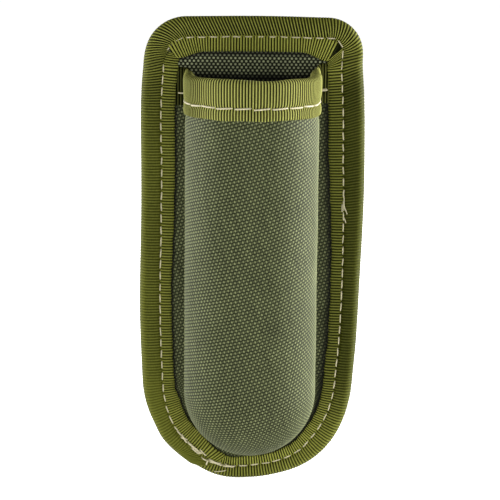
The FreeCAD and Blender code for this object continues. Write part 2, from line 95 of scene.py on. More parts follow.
TAPE = 0.6
TUBE_RADIUS = -corners("front_shell_outer_fabric")[0][1]
WALL = TUBE_RADIUS - WELL_RADIUS
MOUTH_SEAM_Z = sum(corner[2] for corner in corners("mouth_seam_needle_thread")) / 2
FACE_Y = corners("back_panel_face_fabric")[0][1]
REAR_Y = corners("back_panel_rear_fabric")[1][1]
FLANGE_Y = EDGE_FRONT_Y + TAPE
SNAP_X = (CAPS_HIGH[0] - CAPS_LOW[0]) / 2 - (CAPS_HIGH[2] - CAPS_LOW[2]) / 2
SNAP_Z = (CAPS_HIGH[2] + CAPS_LOW[2]) / 2

# ---- Driving dimensions of the looks ----

# Outline of the sewn back
TOP_CORNER = 15.0
FOOT_CORNER = 34.8
TOP_CROWN = 0.9
SIDE_TAPER = 0.0126
BASE_INSET = 3.0
RIGHT_CORNER_TRIM = 3.0
LEFT_BULGE = 1.1
RIGHT_BULGE = 0.9
RIGHT_PINCH = 1.3
SHOULDER_PINCH = 0.7

# Grosgrain: ribs across the tape, each built from a few stations
RIB_PITCH = 0.96
RIB_STEPS = 6
RIB_HEIGHT = 0.18
TAPE_SHEET = 0.5

# Edge binding: distances of its seam and of its free edge from the outline, up each side
SIDE_HEIGHTS = (-36.0, -22.0, -6.0, 25.0, 85.0, 120.0)
LEFT_SEAM = (4.5, 5.7, 6.9, 7.0, 6.9, 6.8)
RIGHT_SEAM = (4.8, 6.4, 6.1, 6.0, 7.4, 6.8)
LEFT_LEG = (7.7, 10.0, 10.8, 10.7, 11.4, 11.5)
RIGHT_LEG = (7.9, 9.9, 9.9, 9.6, 12.1, 11.5)
SEAM_INSET = 6.8
LEG_INSET = 11.5
REAR_LEG_INSET = 9.8
REAR_LEG_FOOT_INSET = 11.5
EDGE_ROUNDING = 2.7
EDGE_PUFF = 0.4
LEG_PUFF = 0.42
SEAM_GROOVE = 0.6
LEG_SINK = 0.36
GROOVE_WIDTH = 0.6
TOP_RUN = (-28.4, 29.0)
LEG_CORNER = (10.6, 6.3)
LEG_GAP = 0.9
LEG_LAP = 0.4
FRONT_LEG_PROUD = 0.1

# Lap where the two ends of the edge binding meet, left of the foot
LAP_END = 12.0
LAP_HIDDEN = 24.0
LAP_RISE = 0.6
LAP_LENGTH = 26.0
LAP_SLANT = 7.5

# Cloth: distances between neighbouring threads, and the turn of the cloth on the moulded tube
WARP_PITCH = 0.72
WEFT_PITCH = 1.02
WEAVE_HEIGHT = 0.1
CLOTH_TURN = math.radians(15)
ROOT_FILLET = 1.2
FLANGE_REACH = 33.0
FLANGE_SHOWN = 29.0
TAPE_PRESS = 0.45
SHADOW_BESIDE_LEG = 0.85
SHADOW_IN_WELL = 0.88
SHADOW_UNDER_TAPE = 0.8
LINING_PITCH = 2.2
LINING_SHEET = 0.28
FOAM_PITCH = 4.0
FOAM_SHEET = 0.9

# Mouth tape: reach of its ends, depth of its inner leg, and the rounding of its fold over the rim
MOUTH_TAPE_REACH = 28.0
MOUTH_TAPE_DEPTH = 9.5
RIM_ROUNDING = 1.5
RIM_LOOSENESS = 0.25

# Thread and stitches
THREAD_RADIUS = 0.24
EDGE_STITCH = 3.9
EDGE_STITCH_SHOWN = 2.8
MOUTH_STITCH = 6.1
MOUTH_STITCH_SHOWN = 5.6
MOUTH_THREAD_RADIUS = 0.29
INNER_THREAD_RADIUS = 0.2
BACK_STITCH = 3.6
PLY_TWIST = 1.9

# Back-tack at the lap: how far each strand starts and ends from the foot's middle along the seam,
# how far outside the seam each end lies, and the strand's radius
BACK_TACK = (
    (31.0, 28.2, 0.0, 0.0, 0.26),
    (28.5, 25.0, -0.3, 0.5, 0.3),
    (28.0, 25.5, 0.5, -0.4, 0.28),
    (25.0, 18.4, 0.1, -0.1, 0.36),
    (22.5, 19.0, 0.6, 0.5, 0.26),
    (20.0, 16.5, -0.9, -0.5, 0.24),
    (17.6, 15.2, 0.9, 0.7, 0.24),
    (15.2, 14.9, 0.3, 2.2, 0.28),
    (15.0, 9.5, 0.0, 0.1, 0.36),
    (14.5, 10.3, 0.55, -0.45, 0.3),
    (11.5, 7.8, 3.0, 1.5, 0.16),
    (8.6, 5.4, -0.5, 0.3, 0.26),
    (9.2, 4.8, 0.1, 0.0, 0.34),
)

# Snagged strands up the right side: heights of their two ends, how far outside the seam each lies,
# and the strand's radius
SNAG = (
    (63.9, 61.2, -0.2, 0.2, 0.2),
    (61.5, 57.2, 0.1, 0.1, 0.22),
    (59.0, 56.0, 0.2, 1.3, 0.19),
    (59.5, 56.8, -0.5, -0.5, 0.2),
    (54.9, 53.1, 0.3, 0.9, 0.17),
)

# Belt strap and its closing patches
STRAP = 2.0
STRAP_GRID = 0.4
STRAP_CORNER = 5.0
STRAP_EDGE = 0.9
CORD_PITCH = 0.75
ROW_PITCH = 1.6
PATCH_CORNER = 3.0
PATCH_BASE = 0.55
PATCH_BEVEL = 0.08
PATCH_MARGIN = 2.2
SNAP_CLEARANCE = 7.0
HOOK_PITCH = 1.6
LOOP_PITCH = 1.05
HOOK_RADIUS = 0.13
LOOP_RADIUS = 0.07
PILE_GAP = 0.1

# Stage: half the floor's size, camera and lights, in metres, degrees and watts
FLOOR_REACH = 6.0
CAMERA_AIM = (-0.0003, 0.008, 0.08225)
CAMERA_DISTANCE = 0.744
CAMERA_RISE = 11.66
CAMERA_ROLL = 0.55
CAMERA_LENS = 161.6
LIGHT_AIM = (0.0, 0.0, 0.045)
LIGHTS = {
    "right_softbox": ((0.62, 0.22, 0.16), (0.22, 0.45), 11.0),
    "left_softbox": ((-0.62, 0.22, 0.16), (0.22, 0.45), 5.5),
    "front_fill": ((0.0, -0.95, 0.1), (0.6, 0.4), 5.75),
    "rear_fill": ((0.2, 0.9, 0.3), (0.6, 0.4), 4.2),
}

rng = np.random.default_rng(7)


# ---- Number helpers ----


def ease(x, low, high):
    """0 at low, 1 at high, with an eased step between them."""
    share = np.clip((np.asarray(x, float) - low) / (high - low), 0, 1)
    return share * share * (3 - 2 * share)


def bell(x, middle, width):
    """1 at the middle, falling off on both sides."""
    return np.exp(-(((np.asarray(x, float) - middle) / width) ** 2))


def profile(x, knots, values):
    """Values given at a few knots, eased from one to the next."""
    steps = zip(np.diff(values), knots, knots[1:])
    return values[0] + sum(step * ease(x, low, high) for step, low, high in steps)


def in_box(x, z, low, high):
    """Distance outside (positive) or inside (negative) the edge of a box seen from the back."""
    return np.maximum.reduce([x - high[0], low[0] - x, z - high[2], low[2] - z])


def hump(x):
    """Flat-topped arch that is 0 at 0 and at 1."""
    return np.sin(math.pi * np.clip(x, 0, 1)) ** 0.6


def waves(s, scale, seed):
    """Slow, repeatable wander between about -1 and 1 along a distance."""
    dice = np.random.default_rng(seed)
    total = np.zeros_like(np.asarray(s, float))
    for k in range(5):
        total += dice.uniform(0.3, 1) * np.sin(s / scale * (0.6 + 0.55 * k) + dice.uniform(0, 6.3))
    return total / 2.6


def unit(vectors):
    """Vectors scaled to length 1."""
    return vectors / np.maximum(np.linalg.norm(vectors, axis=-1, keepdims=True), 1e-9)


def travelled(points):
    """Distance along a row of points at each of them."""
    return np.concatenate([[0], np.cumsum(np.linalg.norm(np.diff(points, axis=0), axis=1))])


def between(at, distances, vectors):
    """Vectors at places between those of a row of vectors."""
    return np.stack([np.interp(at, distances, column) for column in vectors.T], -1)


class Path:
    """Plane curve looked up by the distance along it, with its normal on the right."""

    def __init__(self, points, closed, spacing=0.2):
        points = np.array(points, float)
        if closed:
            points = np.vstack([points, points[:1]])
        distance = travelled(points)
        self.length = distance[-1]
        self.closed = closed
        self.s = np.linspace(0, self.length, int(self.length / spacing) + 1)
        self.points = between(self.s, distance, points)
        tangent = np.gradient(self.points, axis=0)
        if closed:
            tangent[0] = tangent[-1] = self.points[1] - self.points[-2]
        self.normals = unit(np.stack([tangent[:, 1], -tangent[:, 0]], 1))

    def at(self, s):
        """Points and normals at the distances s."""
        s = np.asarray(s, float)
        s = s % self.length if self.closed else np.clip(s, 0, self.length)
        return between(s, self.s, self.points), unit(between(s, self.s, self.normals))

    def nearest(self, x, y):
        """Distance along the path of its point closest to a place."""
        return self.s[np.argmin(np.hypot(self.points[:, 0] - x, self.points[:, 1] - y))]


def rounded_polygon(points, radii, count=60):
    """Points along a counter-clockwise polygon with rounded corners."""
    path = []
    points = [np.array(p, float) for p in points]
    for k, (here, radius) in enumerate(zip(points, radii)):
        if radius == 0:
            path.append(here)
            continue
        back = unit(points[k - 1] - here)
        on = unit(points[(k + 1) % len(points)] - here)
        half = math.acos(np.clip(back @ on, -1, 1)) / 2
        centre = here + unit(back + on) * radius / math.sin(half)
        start = here + back * radius / math.tan(half) - centre
        first = math.atan2(start[1], start[0])
        for angle in first + np.linspace(0, math.pi - 2 * half, count):
            path.append(centre + radius * np.array([math.cos(angle), math.sin(angle)]))
    return path


# ---- Mesh helpers ----


def grid_faces(rows, columns, wrap=False):
    """Quads between the points of a grid, whose last column may join the first."""
    i = np.arange(rows - 1)[:, None]
    j = np.arange(columns if wrap else columns - 1)[None, :]
    k = (j + 1) % columns
    faces = [i * columns + j, i * columns + k, (i + 1) * columns + k, (i + 1) * columns + j]
    return np.stack(np.broadcast_arrays(*faces), -1).reshape(-1, 4)


def add_piece(name, points, faces, material, nodes=(), body="holster", layers=None, flat=False):
    """Mesh object in place of CAD nodes, riding on a body, from points in millimetres."""
    mesh = bpy.data.meshes.new(name)
    mesh.from_pydata((np.asarray(points) * MM).tolist(), [], [list(face) for face in faces])
    mesh.validate()
    mesh.polygons.foreach_set("use_smooth", [not flat] * len(mesh.polygons))
    for key, values in (layers or {}).items():
        values = np.asarray(values, np.float32)
        vector = values.ndim == 2
        layer = mesh.attributes.new(key, "FLOAT_VECTOR" if vector else "FLOAT", "POINT")
        layer.data.foreach_set("vector" if vector else "value", values.ravel())
    mesh.materials.append(material)
    piece = bpy.data.objects.new(name, mesh)
    bpy.context.scene.collection.objects.link(piece)
    if body:
        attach(piece, body)
    if nodes:
        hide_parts(*nodes)
    return piece


def thicken(piece, thickness, offset=0.0):
    """Gives a sheet a thickness, about its middle or to one side."""
    modifier = piece.modifiers.new("thickness", "SOLIDIFY")
    modifier.thickness = thickness * MM
    modifier.offset = offset


class Soup:
    """Collects closed forms into one mesh, with one number and one vector per point."""

    def __init__(self):
        self.points, self.faces, self.marks, self.places = [], [], [], []
        self.count = 0

    def add(self, sections, mark=0.0, place=0.0):
        """Adds a tube through closed sections, capped at both ends."""
        rows, columns = sections.shape[:2]
        points = sections.reshape(-1, 3)
        faces = grid_faces(rows, columns, wrap=True)
        a, b, c, d = (points[faces[:, k]] for k in range(4))
        volume = (np.cross(a, b) * c).sum() + (np.cross(a, c) * d).sum()
        first = list(range(columns))
        last = [(rows - 1) * columns + k for k in range(columns)]
        faces = faces.tolist() + [first[::-1], last]
        if volume < 0:
            faces = [face[::-1] for face in faces]
        self.faces += [[k + self.count for k in face] for face in faces]
        self.points.append(points)
        self.marks.append(np.broadcast_to(mark, (rows, columns)).ravel())
        self.places.append(np.broadcast_to(place, (rows, columns, 3)).reshape(-1, 3))
        self.count += len(points)

    def piece(self, name, material, *nodes, body="holster", mark="rib", place="tape_place"):
        """The collected mesh as an object."""
        layers = {mark: np.concatenate(self.marks), place: np.vstack(self.places)}
        return add_piece(name, np.vstack(self.points), self.faces, material, nodes, body, layers)

    def add_thread(self, path, radius):
        """Adds a three-ply thread along a space curve."""
        self.add(*tube_sections(path, radius, lobes=3, twist=PLY_TWIST))

    def thread_piece(self, name, node, body="holster"):
        """The collected threads as an object."""
        return self.piece(name, thread, node, body=body, mark="ply", place="thread_place")


def tube_sections(path, radius, lobes=0, twist=0.0, sides=12):
    """Round or lobed sections along a space curve, and how far out each point lies."""
    path = np.asarray(path, float)
    tangent = unit(np.gradient(path, axis=0))
    guide = np.array([0.31, -0.84, 0.45])
    first = unit(np.cross(tangent, guide))
    second = np.cross(tangent, first)
    angle = np.linspace(0, 2 * math.pi, sides, endpoint=False)[None, :]
    lobe = np.abs(np.cos(lobes / 2 * (angle + twist * travelled(path)[:, None])))
    reach = radius * (0.76 + 0.24 * lobe)
    sections = path[:, None, :] + first[:, None, :] * (reach * np.cos(angle))[..., None]
    sections = sections + second[:, None, :] * (reach * np.sin(angle))[..., None]
    return sections, lobe


# ---- Materials ----


class Shader:
    """Adds nodes to one material and feeds values or sockets into them."""

    def __init__(self, name, roughness):
        self.material = bpy.data.materials.new(name)
        self.material.use_nodes = True
        self.tree = self.material.node_tree
        self.surface = self.tree.nodes["Principled BSDF"]
        self.surface.inputs["Roughness"].default_value = roughness

    def feed(self, socket, value):
        if isinstance(value, bpy.types.NodeSocket):
            self.tree.links.new(value, socket)
        elif value is not None:
            socket.default_value = value

    def add(self, kind, *values, **settings):
        node = self.tree.nodes.new("ShaderNode" + kind)
        for key, value in settings.items():
            setattr(node, key, value)
        for socket, value in zip(node.inputs, values):
            self.feed(socket, value)
        return node

    def math(self, operation, *values):
        return self.add("Math", *values, operation=operation).outputs[0]

    def times(self, first, second):
        return self.math("MULTIPLY", first, second)

    def plus(self, first, second):
        return self.math("ADD", first, second)

    def mix(self, share, first, second):
        node = self.add("Mix", data_type="RGBA")
        for index, value in ((0, share), (6, first), (7, second)):
            self.feed(node.inputs[index], value)
        return node.outputs[2]

    def attribute(self, name):
        return self.add("Attribute", attribute_name=name).outputs

    def split(self, name):
        """The three numbers of a vector attribute."""
        return self.add("SeparateXYZ", self.attribute(name)["Vector"]).outputs

    def noise(self, scale, detail, name=None):
        """Noise over the position, or over a named attribute, scaled on each axis."""
        source = self.attribute(name)["Vector"] if name else self.add("TexCoord").outputs["Object"]
        node = self.add("TexNoise")
        scaled = self.add("VectorMath", source, scale, operation="MULTIPLY")
        self.feed(node.inputs["Vector"], scaled.outputs[0])
        node.inputs["Scale"].default_value = 1.0
        node.inputs["Detail"].default_value = detail
        return node.outputs["Fac"]

    def ramp(self, value, low, high, first=0.0, last=1.0):
        return self.add("MapRange", value, low, high, first, last).outputs[0]

    def spread(self, noise, first, last):
        """The usual range of a noise, stretched from first to last."""
        return self.ramp(noise, 0.3, 0.7, first, last)

    def oval(self, off, width, power):
        """1 where off is 0, falling to 0 at the width, the flatter the higher the power."""
        return self.ramp(self.math("POWER", self.math("DIVIDE", off, width), power), 1.0, 0.0)

    def paint(self, tone, shade, specular):
        """Base colour from a tone times a shade."""
        scaled = self.add("VectorMath", tone, operation="SCALE")
        self.feed(scaled.inputs["Scale"], shade)
        self.set(Base_Color=scaled.outputs[0], Specular_IOR_Level=specular)

    def bump(self, height, distance, strength=1.0):
        node = self.add("Bump")
        node.inputs["Strength"].default_value = strength
        node.inputs["Distance"].default_value = distance * MM
        self.feed(node.inputs["Height"], height)
        self.feed(self.surface.inputs["Normal"], node.outputs[0])

    def set(self, **values):
        for key, value in values.items():
            self.feed(self.surface.inputs[key.replace("_", " ")], value)


def colour(red, green, blue):
    return (red, green, blue, 1.0)


def cloth_material(name, over, under, gap, warp, weft, reach=0.7, both=0.4):
    """Plain weave on the cloth's own grid: ovals of warp, and weft between them."""
    shader = Shader(name, roughness=0.62)
    across, along_warp, shadow = shader.split("weave")
    row_place = shader.math("DIVIDE", along_warp, weft)
    row = shader.math("ROUND", row_place)
    column = shader.plus(shader.math("DIVIDE", across, warp), row)
    off_float = shader.math("ABSOLUTE", shader.math("WRAP", column, 1.0, -1.0))
    off_row = shader.math("ABSOLUTE", shader.math("SUBTRACT", row_place, row))
    off_between = shader.math("SUBTRACT", 1.0, off_float)
    arch = shader.oval(off_row, 0.5, 2.2)
    float_top = shader.times(shader.oval(off_float, reach, 2.6), arch)
    between_top = shader.times(shader.times(shader.oval(off_between, 1.06 - reach, 2.6), arch), both)
    size = shader.math("MAXIMUM", float_top, between_top)
    fibres = shader.noise((1 / 0.16, 1 / 1.6, 1.0), 3.0, "weave")
    uneven = shader.noise((1 / 1.3, 1 / 9.0, 1.0), 2.0, "weave")
    cloud = shader.noise((60.0, 60.0, 60.0), 3.0)
    shade = shader.plus(shader.spread(fibres, 0.8, 1.12), shader.spread(cloud, -0.07, 0.07))
    shade = shader.plus(shade, shader.spread(uneven, -0.17, 0.17))
    shade = shader.times(shade, shader.math("SUBTRACT", 1.0, shadow))
    woven = shader.mix(shader.ramp(size, 0.08, 0.75), gap, shader.mix(float_top, under, over))
    shader.bump(shader.plus(size, shader.times(fibres, 0.25)), 0.14)
    shader.paint(woven, shade, specular=0.1)
    shader.set(Sheen_Weight=0.04, Sheen_Tint=over, Sheen_Roughness=0.4)
    return shader.material


def tape_material(name, ridge, valley, worn_tone, strength=1.0):
    """Ribbed tape: painted sheen on the bright ridges, painted shade in the dark valleys, and one tone where it is
    rubbed flat.
    """
    shader = Shader(name, roughness=0.5)
    rib = shader.attribute("rib")["Fac"]
    _, travel, rubbed = shader.split("tape_place")
    threads = shader.math("SINE", shader.times(travel, 2 * math.pi / 0.34))
    streak = shader.noise((1 / 0.9, 1 / 0.14, 1.0), 3.0, "tape_place")
    cloud = shader.noise((45.0, 45.0, 45.0), 3.0)
    share = shader.ramp(shader.plus(rib, shader.times(threads, 0.05)), 0.3, 0.97)
    woven = shader.mix(shader.math("POWER", share, 1.6), valley, ridge)
    woven = shader.mix(shader.times(rubbed, 0.7), woven, worn_tone)
    shade = shader.plus(shader.spread(streak, 0.78, 1.18), shader.spread(cloud, -0.08, 0.08))
    height = shader.plus(rib, shader.times(threads, 0.1))
    shader.bump(shader.plus(height, shader.times(streak, 0.15)), 0.1, strength)
    shader.paint(woven, shade, specular=0.03)
    return shader.material


def thread_material():
    """Cream bonded thread, with painted shade between its plies."""
    shader = Shader("thread", roughness=0.5)
    lobe = shader.attribute("ply")["Fac"]
    fuzz = shader.noise((900.0, 900.0, 900.0), 2.0)
    # Painted shade: the grooves between the plies take the darker tone.
    mixed = shader.mix(shader.ramp(lobe, 0.15, 0.8), colour(0.3, 0.26, 0.14), colour(0.72, 0.66, 0.44))
    shader.bump(fuzz, 0.05, 0.5)
    shader.paint(mixed, shader.spread(fuzz, 0.85, 1.1), specular=0.4)
    return shader.material


def plain_material(name, base, roughness, grain, depth, metallic=0.0):
    """Material whose colour and surface vary with a fine grain of the given size."""
    shader = Shader(name, roughness)
    fine = shader.noise((1 / (grain * MM),) * 3, 4.0)
    dark, light = (colour(*[share * value for value in base]) for share in (0.72, 1.2))
    shader.set(Base_Color=shader.mix(fine, dark, light), Metallic=metallic)
    shader.set(Roughness=shader.spread(fine, roughness - 0.08, roughness + 0.1))
    shader.bump(fine, depth)
    return shader.material


# Tones of a weave: thread on top, thread below, gap; and of a tape: ridge with painted sheen, valley with painted
# shade, rubbed flat
OLIVE_GAP = colour(0.006, 0.009, 0.003)
OLIVE = (colour(0.215, 0.236, 0.108), colour(0.09, 0.101, 0.044), OLIVE_GAP)
# The back panel's cloth is a copy of the pocket cloth: its weave reads differently, and its floats are lightened
# as painted light.
PANEL_OLIVE_PAINTED_LIGHT = (colour(0.46, 0.5, 0.29), colour(0.04, 0.046, 0.02), OLIVE_GAP)
STRAP_OLIVE = (colour(0.12, 0.13, 0.05), colour(0.07, 0.078, 0.028), OLIVE_GAP)
LINING_OLIVE = (colour(0.05, 0.053, 0.03), colour(0.035, 0.038, 0.02), colour(0.01, 0.01, 0.006))
# Near-black painted shade for the tape's valleys.
TAPE_VALLEY_SHADE = colour(0.006, 0.008, 0.001)
EDGE_YELLOW = (colour(0.38, 0.395, 0.075), TAPE_VALLEY_SHADE, colour(0.1, 0.108, 0.012))
MOUTH_YELLOW = (colour(0.41, 0.415, 0.107), TAPE_VALLEY_SHADE, colour(0.2, 0.2, 0.05))

cloth = cloth_material("pack_cloth", *OLIVE, WARP_PITCH, WEFT_PITCH, 0.57, 0.7)
# Back panel cloth: a copy of the pocket cloth with floats lightened as painted light.
panel_cloth_painted_light = cloth_material("pack_cloth_flat", *PANEL_OLIVE_PAINTED_LIGHT, WARP_PITCH, WEFT_PITCH)
lining = cloth_material("lining_cloth", *LINING_OLIVE, 0.35, 0.35)
webbing = cloth_material("strap_webbing", *STRAP_OLIVE, CORD_PITCH, ROW_PITCH)
tape = tape_material("grosgrain_tape", *EDGE_YELLOW, 0.5)
mouth_tape = tape_material("grosgrain_tape_mouth", *MOUTH_YELLOW)
thread = thread_material()
foam = plain_material("foam", (0.03, 0.03, 0.03), 0.9, 0.6, 0.15)
stiff_sheet = plain_material("stiffener_sheet", (0.02, 0.02, 0.02), 0.6, 0.8, 0.03)
hook_tape = plain_material("hook_tape", (0.06, 0.066, 0.028), 0.5, 0.3, 0.05)
loop_tape = plain_material("loop_tape", (0.07, 0.077, 0.034), 0.85, 0.2, 0.12)
snap_metal = plain_material("snap_metal", (0.045, 0.045, 0.043), 0.34, 0.25, 0.012, metallic=0.85)
spring_wire = plain_material("spring_wire", (0.45, 0.43, 0.4), 0.3, 0.2, 0.008, metallic=1.0)


# ---- Outline of the sewn back ----


def hand_sewn(path):
    """The outline with the small bulges and pinches that hand sewing leaves."""
    x, z = path[:, 0], path[:, 1]
    right, left = ease(x, 12, 30), ease(-x, 12, 30)
    out = right * (RIGHT_BULGE * bell(z, 62, 30) - RIGHT_PINCH * bell(z, -8, 16))
    out = out - left * LEFT_BULGE * bell(z, 22, 28)
    out = out + (left - right) * SHOULDER_PINCH * bell(z, 106, 11)
    out = out + (0.5 * left - 0.35 * right) * bell(z, 108, 6)
    foot = 0.5 * bell(x, 9, 8) - 0.55 * bell(x, -10, 6) + 0.3 * bell(x, -21, 4)
    rise = foot * ease(z, 0, -30) + 0.5 * bell(x, 3, 22) * ease(z, 100, 118)
    return np.stack([x + out, z + rise], 1)


def outline_path(inset):
    """Closed outline moved in by inset, from the middle of the foot counter-clockwise."""
    shoulder = TOP_Z - TOP_CROWN - inset
    foot = FOOT_Z + inset
    straight_top = TOP_Z - TOP_CORNER
    wide = SIDE_X + SIDE_TAPER * (shoulder - straight_top) - inset
    narrow = SIDE_X - SIDE_TAPER * (straight_top - foot) - inset
    points = [(0, foot), (narrow, foot), (wide, shoulder), (-wide, shoulder), (-narrow, foot)]
    low, high = FOOT_CORNER - inset, TOP_CORNER - inset
    path = np.array(rounded_polygon(points, (0, low, high - RIGHT_CORNER_TRIM, high, low)))
    crown = TOP_CROWN * (1 - (path[:, 0] / wide) ** 2)
    path[:, 1] += crown * ease(path[:, 1], shoulder - TOP_CORNER, shoulder)
    return Path(hand_sewn(Path(path, closed=True).points), closed=True)


outline = outline_path(BASE_INSET)
RIGHT_CORNER = outline.nearest(SIDE_X, TOP_Z)
LEFT_CORNER = outline.nearest(-SIDE_X, TOP_Z)
TAPE_FIRST = -LAP_HIDDEN
TAPE_LAST = outline.length - LAP_END


def height_at(s):
    """Height of the outline at distance s."""
    return outline.at(s)[0][..., 1]


def on_right(s):
    """1 on the right half of the outline, 0 on its left half."""
    return ease(np.asarray(s) % outline.length, outline.length / 2 + 9, outline.length / 2 - 9)


def at_top(s):
    """1 along the top of the outline, 0 on the sides and at the foot."""
    return ease(height_at(s), 108, 116)


def inset_place(s, inset):
    """Point (x, z) that lies inset inside the outline at distance s."""
    point, normal = outline.at(s)
    return point + normal * (BASE_INSET - np.asarray(inset))[..., None]


def by_side(s, left, right):
    """Inset at distance s from the profiles of the left and of the right side."""
    z = height_at(s)
    foot = ease(np.asarray(s) % outline.length, outline.length - 9, outline.length)
    share = np.maximum(on_right(s), foot)
    return profile(z, SIDE_HEIGHTS, left) * (1 - share) + profile(z, SIDE_HEIGHTS, right) * share


def seam_inset(s):
    """Distance of the edge seam from the outline."""
    pleats = 0.4 * bell(s, LEFT_CORNER, 4.5) - 0.6 * bell(s, RIGHT_CORNER, 6)
    return by_side(s, LEFT_SEAM, RIGHT_SEAM) + pleats + 0.12 * waves(s, 11.0, 3)


def leg_inset(s):
    """Distance of the front leg's free edge from the outline."""
    z = height_at(s)
    jog = ease(z, -5, -11) * ease(s, outline.length * 0.6, outline.length * 0.62) * ease(z, -36, -24)
    return by_side(s, LEFT_LEG, RIGHT_LEG) + jog + 0.14 * waves(s, 5.0, 5) + 0.14 * waves(s, 1.4, 6)


def painted_shade_of(s):
    """Share of the ridges' brightness that is lost: a dimming everywhere, plus painted shade down the sides, most
    up the right side, and less of it along the top.
    """
    z = height_at(s)
    side = (0.15 + 0.17 * on_right(s)) * ease(z, -20, 5) * ease(z, 112, 95)
    return 0.17 + side - 0.1 * at_top(s)


def worn(s, lap_share):
    """How far the edge binding's ribs are rubbed flat: most where its last end laps over."""
    sides = 0.15 + (0.42 - 0.25 * on_right(s)) * ease(height_at(s), 104, 80) - 0.15 * at_top(s)
    lap = ease(s, outline.nearest(-SIDE_X, 12.0), outline.nearest(-SIDE_X, -16.0))
    return np.clip(sides + lap_share * lap, 0, 1) * ease(s, 2, 26)


def front_face(z):
    """Depth of the binding's front face, which steps back above the mouth."""
    return EDGE_FRONT_Y + (FACE_Y - FLANGE_Y) * ease(z, MOUTH_Z + 0.3, MOUTH_Z + 5)


def lap_rise(s):
    """How far the end that lies on top stands off."""
    return LAP_RISE * ease(s, TAPE_LAST - LAP_LENGTH, TAPE_LAST - LAP_LENGTH + 8)


def stations(first, last):
    """Distances along a tape, a few to each rib."""
    return np.linspace(first, last, int(round((last - first) / RIB_PITCH * RIB_STEPS)) + 1)


def rib_wave(count):
    """Height of the ribs at each station, from 0 in a valley to 1 on a ridge."""
    return np.abs(np.sin(math.pi * np.arange(count) / RIB_STEPS)) ** 0.8


def stitch_pull(s, pitch):
    """1 where the thread goes through the tape, 0 between."""
    return 0.5 + 0.5 * np.cos(2 * math.pi * s / pitch)


# ---- Edge binding ----


def rib_lean(s):
    """How far the outer end of a rib runs ahead of its inner end."""
    sides = (outline.nearest(SIDE_X, 30.0), outline.nearest(SIDE_X, 95.0))
    top = (RIGHT_CORNER, RIGHT_CORNER + 8, LEFT_CORNER - 14, LEFT_CORNER, LEFT_CORNER + 24)
    return np.interp(s, sides + top, (0, 2.3, 1.8, 1.3, 3.6, 3.4, 0))


def unfold(front, rear):
    """Columns of the fold's front half, turned round, then those of its rear half."""
    return np.hstack([front[:, ::-1], rear[:, 1:]])


def edge_fold():
    """The tape from its front seam round the edge to its rear seam."""
    s = stations(TAPE_FIRST, TAPE_LAST)
    seam = seam_inset(s)[:, None]
    corner = bell(s, LEFT_CORNER, 7) + bell(s, RIGHT_CORNER, 7)
    reach = seam + 0.4 + 3.6 * np.minimum(corner, 1)[:, None]
    turn = np.concatenate([np.linspace(0, math.pi / 2, 7), np.full(11, math.pi / 2)])
    onward = np.concatenate([np.zeros(7), np.linspace(0, 1, 12)[1:]])
    inset = EDGE_ROUNDING * (1 - np.cos(turn)) + onward * (reach - EDGE_ROUNDING)
    puff = EDGE_PUFF * (1 + 0.35 * waves(s, 6.0, 8))[:, None] * hump(inset / seam)
    beyond = 1 - 0.5 * ease(inset, seam + 0.5, seam + 2)
    sunk = np.where(inset > seam, beyond, bell(inset, seam, GROOVE_WIDTH))
    groove = (SEAM_GROOVE + 0.15 * stitch_pull(s, EDGE_STITCH))[:, None] * sunk
    front, rear = front_face(height_at(s))[:, None], EDGE_REAR_Y
    rise = lap_rise(s)[:, None]
    half = ((rear - front) / 2 + puff + rise) * np.sin(turn) - groove
    middle = (rear + front) / 2
    slant = LAP_SLANT * ease(s, TAPE_LAST - 16, TAPE_LAST)
    where = s[:, None] + (rib_lean(s) - slant)[:, None] * np.clip(1 - inset / seam, 0, 1)
    place = inset_place(where, inset - rise)
    across, depth, at_edge = unfold(place, place), unfold(middle - half, middle + half), unfold(inset, inset)
    grid = np.stack([across[..., 0], depth, across[..., 1]], -1)
    normals = unit(np.cross(np.gradient(grid, axis=0), np.gradient(grid, axis=1)))
    wave = rib_wave(len(s))
    outer = ease(at_edge, 3.0, 0.4)
    height = RIB_HEIGHT * (1 - 0.45 * worn(s, 0.5) - 0.4 * at_top(s))[:, None] * (1 - 0.6 * outer)
    skin = grid - normals * ((wave[:, None] - 0.5) * 2 * height)[..., None]
    sections = np.hstack([skin, (grid + normals * TAPE_SHEET)[:, ::-4]])
    # Ridge marks: sharper along the top, so the dark valleys widen there as a painted shadow of the ribs. They are
    # dimmed by the painted shade of the sides.
    mark = (wave ** (1 + 1.5 * at_top(s)) * (1 - painted_shade_of(s)))[:, None]
    # Painted crevice shade: beyond the seam, where the fold runs on under the corners of the legs, the tape takes
    # its dark valley tone.
    mark = mark * (1 - ease(at_edge, seam + 0.5, seam + 0.9))
    flat = np.clip(worn(s, 0.5)[:, None] + 0.35 * outer, 0, 1)
    place = np.stack([*np.broadcast_arrays(s[:, None], unfold(inset, -inset), flat)], -1)
    return sections, np.hstack([mark, mark[:, ::-4]]), np.hstack([place, place[:, ::-4]])


def leg_puff(s, seed):
    """How far a leg swells between its two edges."""
    return LEG_PUFF * (1 + 0.3 * waves(s, 5.0, seed))


